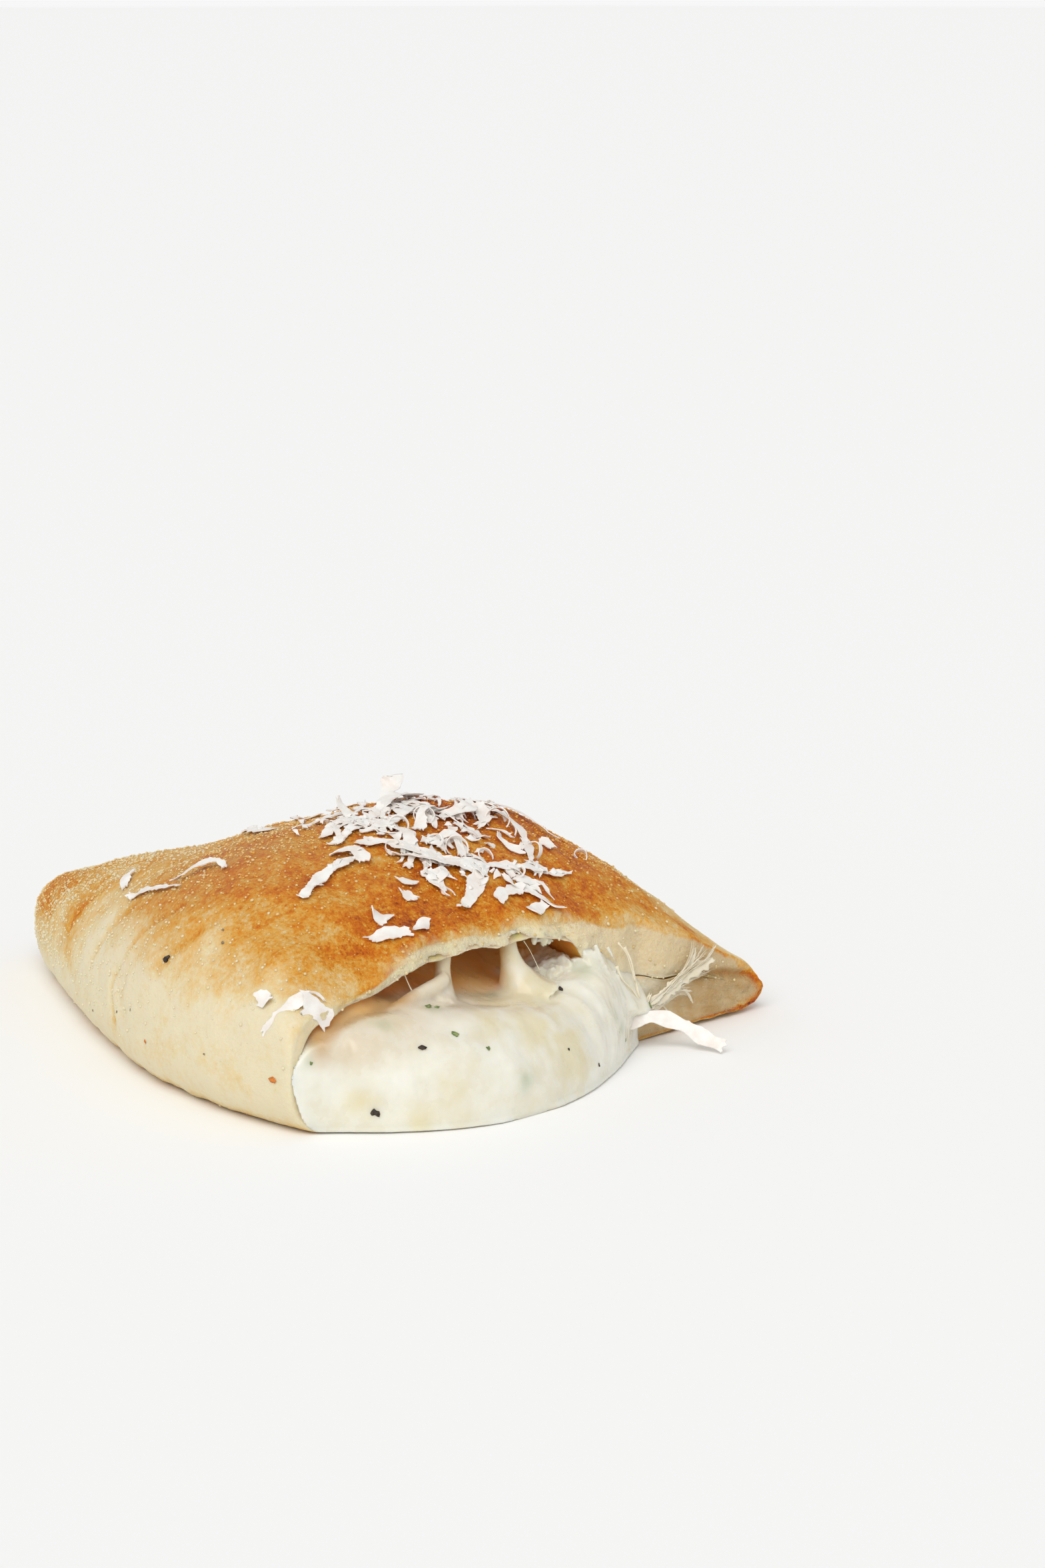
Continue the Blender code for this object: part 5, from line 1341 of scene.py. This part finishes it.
def buildCrumbs(dough):
    # loose bread crumbs that cling to the torn lip
    draw = random.Random(semolina["crumbSeed"])
    points, normals = toDesign(readPoints(dough)), readNormals(dough)
    x, y, z = points.T
    onLip = (readValue(dough, "crumb") > 0.2) * (y < 1.5) * (z > 5) * (x > 6)
    picked = pick(onLip, semolina["crumbs"], draw)
    sizes = np.array([draw.uniform(*semolina["crumbSize"]) for _ in picked])
    places = points[picked] + normals[picked] * (sizes * 0.1)[:, None]
    return scatterGrains("lipCrumbs", places, normals[picked], sizes, semolina["turnSeeds"]["crumbs"], 0.8)


# Foods with one even look: a ramp over a soft cloud (size in millimetres, detail, roughness) or over the
# browning that the mesh carries, and on some a fine bump (size and depth)
waxy = {"Roughness": 0.45, "IOR": 1.45, "Subsurface Radius": (1.0, 1.0, 1.0)}
mealy = {"Subsurface Weight": 0.3, "Subsurface Radius": (1.0, 0.7, 0.4), "Subsurface Scale": 0.4 * mm}
foodLooks = {
    # from a coarse grater: white, waxy, slightly clear at thin edges
    "gratedHardCheese": {"cloud": (1.8, 4.0, 0.6), "stops": [(0.35, "#ece3db"), (0.6, "#f3f1ec")],
                         "bump": (0.5, 0.12),
                         "surface": {**waxy, "Subsurface Weight": 0.12, "Subsurface Scale": 0.15 * mm}},
    # drawn out into fine threads: creamier and clearer
    "pulledCheese": {"cloud": (1.2, 4.0, 0.6), "stops": [(0.35, "#e9dcbe"), (0.6, "#f2e8d0")],
                     "bump": (0.5, 0.12),
                     "surface": {**waxy, "Subsurface Weight": 0.3, "Subsurface Scale": 0.3 * mm}},
    # hard and glassy grit
    "toastedSemolina": {"stops": doughLooks["browning"],
                        "surface": {**mealy, "Roughness": 0.38, "IOR": 1.5, "Subsurface Scale": 0.2 * mm}},
    # dry and matt
    "breadCrumb": {"cloud": (1.0, 3.0, 0.5), "stops": [(0.35, "#d8b97c"), (0.65, "#e6dab8")],
                   "surface": {**mealy, "Roughness": 0.8}},
    # a limp leaf, wet with whey
    "driedHerb": {"cloud": (0.6, 3.0, 0.5), "stops": [(0.35, "#5d7440"), (0.65, "#8f9f5e")],
                  "surface": {**mealy, "Roughness": 0.5}},
    # hard and dark, and lets no light in
    "crackedPepper": {"cloud": (0.4, 3.0, 0.5), "stops": [(0.35, "#1b1512"), (0.65, "#4a3a2c")],
                      "surface": {**mealy, "Roughness": 0.6, "Subsurface Weight": 0}},
    # scorched flour, and husk in the dough
    "toastedSpeck": {"cloud": (0.5, 3.0, 0.5), "stops": [(0.35, "#b8601c"), (0.65, "#d9832f")],
                     "surface": {**mealy, "Roughness": 0.6}},
    "branSpeck": {"cloud": (0.5, 3.0, 0.5), "stops": [(0.35, "#6e6150"), (0.65, "#9a8a6c")],
                  "surface": {**mealy, "Roughness": 0.7}},
}


def evenFood(name):
    looks = foodLooks[name]
    material, tree, shader, place = newMaterial(name)
    if "cloud" in looks:
        size, detail, rough = looks["cloud"]
        tone = addNode(tree, "TexNoise", {"Vector": place, "Scale": perMetre(size), "Detail": detail,
                                          "Roughness": rough})
    else:
        tone = addNode(tree, "Attribute", output="Fac", attribute_name="browning")
    colour = addNode(tree, "ValToRGB", tone, stops=looks["stops"])
    feed(tree, shader, {"Base Color": colour, **looks["surface"]})
    if "bump" in looks:
        size, depth = looks["bump"]
        fine = addNode(tree, "TexNoise", {"Vector": place, "Scale": perMetre(size), "Detail": 3.0})
        bump = addNode(tree, "Bump", {"Height": fine, "Strength": 0.12, "Distance": depth * mm})
        feed(tree, shader, {"Normal": bump})
    return material


# Herb leaf and cracked pepper in the cheese, and specks baked into the dough: material, flatness, what
# they lie in, and place and radius of each
flecks = {
    "herb": ("driedHerb", 0.3, ["cheese"], [
        ((18.9, -2.8, 13.5), 0.42), ((19.8, -3.3, 13.3), 0.34), ((18.5, -8.1, 11.1), 0.38),
        ((21.7, -10.4, 8.9), 0.24), ((59, -2, 5.6), 0.36), ((51.8, -4.2, 2.6), 0.2),
        ((1.3, -0.8, 9.1), 0.2)]),
    "pepper": ("crackedPepper", 0.6, ["cheese", "dough"], [
        ((13.3, -7.7, 10.2), 0.36), ((7.1, -5.9, 2.8), 0.5), ((41.9, -1.8, 10.8), 0.34),
        ((35.1, -10.9, 6.2), 0.14), ((41.1, -9.9, 2.7), 0.17), ((1.5, 26.6, 16.8), 0.42)]),
    "toast": ("toastedSpeck", 0.4, ["dough"], [((-1.5, 2.7, 6.9), 0.4), ((-0.4, 29.1, 6), 0.26)]),
    "bran": ("branSpeck", 0.4, ["dough"], [
        ((6.5, 48.3, 4.9), 0.18), ((4.5, 19.2, 21.4), 0.2), ((3.4, 17.9, 20.2), 0.22),
        ((2.4, 37.8, 7.6), 0.14), ((1.1, 33.4, 9), 0.14), ((16.9, 47.5, 21.8), 0.2),
        ((23.1, 42.4, 25.1), 0.18), ((-0.6, 10, 9.5), 0.14), ((-1.6, 15, 7.6), 0.13),
        ((-0.9, 6, 8.4), 0.15)]),
}


def buildFlecks(kind, flat, surfaces, spots):
    # each fleck is half sunk into the surface nearest to its place
    places, normals = [], []
    for place, size in spots:
        target = Vector(toFrame([place])[0])
        hits = [surface.find_nearest(target) for surface in surfaces]
        spot, normal, _, _ = min(hits, key=lambda hit: hit[3])
        places.append(toDesign([tuple(spot)])[0] + np.array(normal) * size * flat * 0.25)
        normals.append(tuple(normal))
    return scatterGrains(kind + "Flecks", places, normals, [size for _, size in spots],
                         semolina["turnSeeds"]["flecks"], flat, 2, 0.45)


# Plain white paper in a bright studio: one very soft source high at the left, white walls all round
studio = {
    "paper": "#fbfbfa", "paperSize": 60.0, "fibre": 1.5,
    "sunPower": 1.65, "sunSoftness": 50.0, "sunFrom": (-0.74, -0.46, 0.95), "sunColour": "#fffefb",
    "roomLight": "#f9fafc", "roomPower": 0.6, "backdrop": 0.93,
    "cameraAt": (-277.79, -326.54, 134.90), "heading": 44.0, "lookDown": 12.056, "lens": 85.0,
}


def setStudio():
    material, tree, shader, place = newMaterial("whitePaper")
    fibre = addNode(tree, "TexNoise", {"Vector": place, "Scale": perMetre(studio["fibre"]), "Detail": 2.0})
    feed(tree, shader, {
        "Base Color": studio["paper"], "Roughness": 0.8, "Specular IOR Level": 0.2,
        "Normal": addNode(tree, "Bump", {"Height": fibre, "Strength": 0.05, "Distance": 0.05 * mm})})
    selectOnly()
    bpy.ops.mesh.primitive_plane_add(size=studio["paperSize"])
    paper = bpy.context.object
    paper.name = "paperSheet"
    paper.data.materials.append(material)

    sun = bpy.data.lights.new("softbox", "SUN")
    sun.energy, sun.angle = studio["sunPower"], math.radians(studio["sunSoftness"])
    sun.color = linear(studio["sunColour"])[:3]
    lamp = bpy.data.objects.new("softbox", sun)
    lamp.rotation_euler = Vector(studio["sunFrom"]).to_track_quat("Z", "Y").to_euler()

    world = bpy.data.worlds.new("brightRoom")
    bpy.context.scene.world = world
    world.use_nodes = True
    tree = world.node_tree
    room = tree.nodes["Background"]
    feed(tree, room, {"Color": studio["roomLight"], "Strength": studio["roomPower"]})
    seen = addNode(tree, "Background", {"Color": (1, 1, 1, 1), "Strength": studio["backdrop"]})
    ray = addNode(tree, "LightPath", output="Is Camera Ray")
    both = addNode(tree, "MixShader", ray, room.outputs[0], seen)
    feed(tree, tree.nodes["World Output"], {"Surface": both})

    lens = bpy.data.cameras.new("camera")
    lens.lens, lens.sensor_width, lens.clip_start, lens.clip_end = studio["lens"], 36.0, 0.01, 200.0
    camera = bpy.data.objects.new("camera", lens)
    heading, down = math.radians(studio["heading"]), math.radians(studio["lookDown"])
    forward = Vector((math.sin(heading) * math.cos(down), math.cos(heading) * math.cos(down),
                      -math.sin(down)))
    camera.location = Vector(toFrame([studio["cameraAt"]])[0])
    camera.rotation_euler = forward.to_track_quat("-Z", "Y").to_euler()
    for placed in (lamp, camera):
        bpy.context.scene.collection.objects.link(placed)
    bpy.context.scene.camera = camera
    bpy.context.scene.view_settings.view_transform = "Standard"


def surfaceOf(made):
    return BVHTree.FromPolygons([v.co for v in made.data.vertices], [f.vertices for f in made.data.polygons])


def dress(made, material, slot, *nodes):
    made.data.materials.clear()
    made.data.materials.append(material)
    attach(made, "root")
    if nodes:
        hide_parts(*nodes)


slots = {"dough": "baked_dough", "cheese": "melted_cheese"}


def main():
    setStudio()
    print("studio set")
    dough = buildCrust()
    dress(dough, bakedDough(), slots["dough"], "crust")
    print("crust", len(dough.data.polygons))
    mouth, core, melted = buildMouthCheese(), buildCoreCheese(), meltedCheese()
    dress(mouth, melted, slots["cheese"], "filling")
    dress(core, melted, slots["cheese"], "filling")
    print("cheese", len(mouth.data.polygons))
    pulled = evenFood("pulledCheese")
    dress(buildStrands(), pulled, slots["cheese"])
    dress(buildWebs(), pulled, slots["cheese"])
    surfaces = {"cheese": surfaceOf(mouth), "dough": surfaceOf(dough)}
    grated = buildShreds(surfaces["dough"])
    dress(grated, evenFood("gratedHardCheese"), slots["dough"], "crust")
    print("shreds", len(grated.data.polygons))
    dress(buildSemolina(dough), evenFood("toastedSemolina"), slots["dough"])
    dress(buildCrumbs(dough), evenFood("breadCrumb"), slots["dough"])
    for kind, (food, flat, liesIn, spots) in flecks.items():
        made = buildFlecks(kind, flat, [surfaces[key] for key in liesIn], spots)
        dress(made, evenFood(food), slots[liesIn[0]])
    print("scatter done")


main()
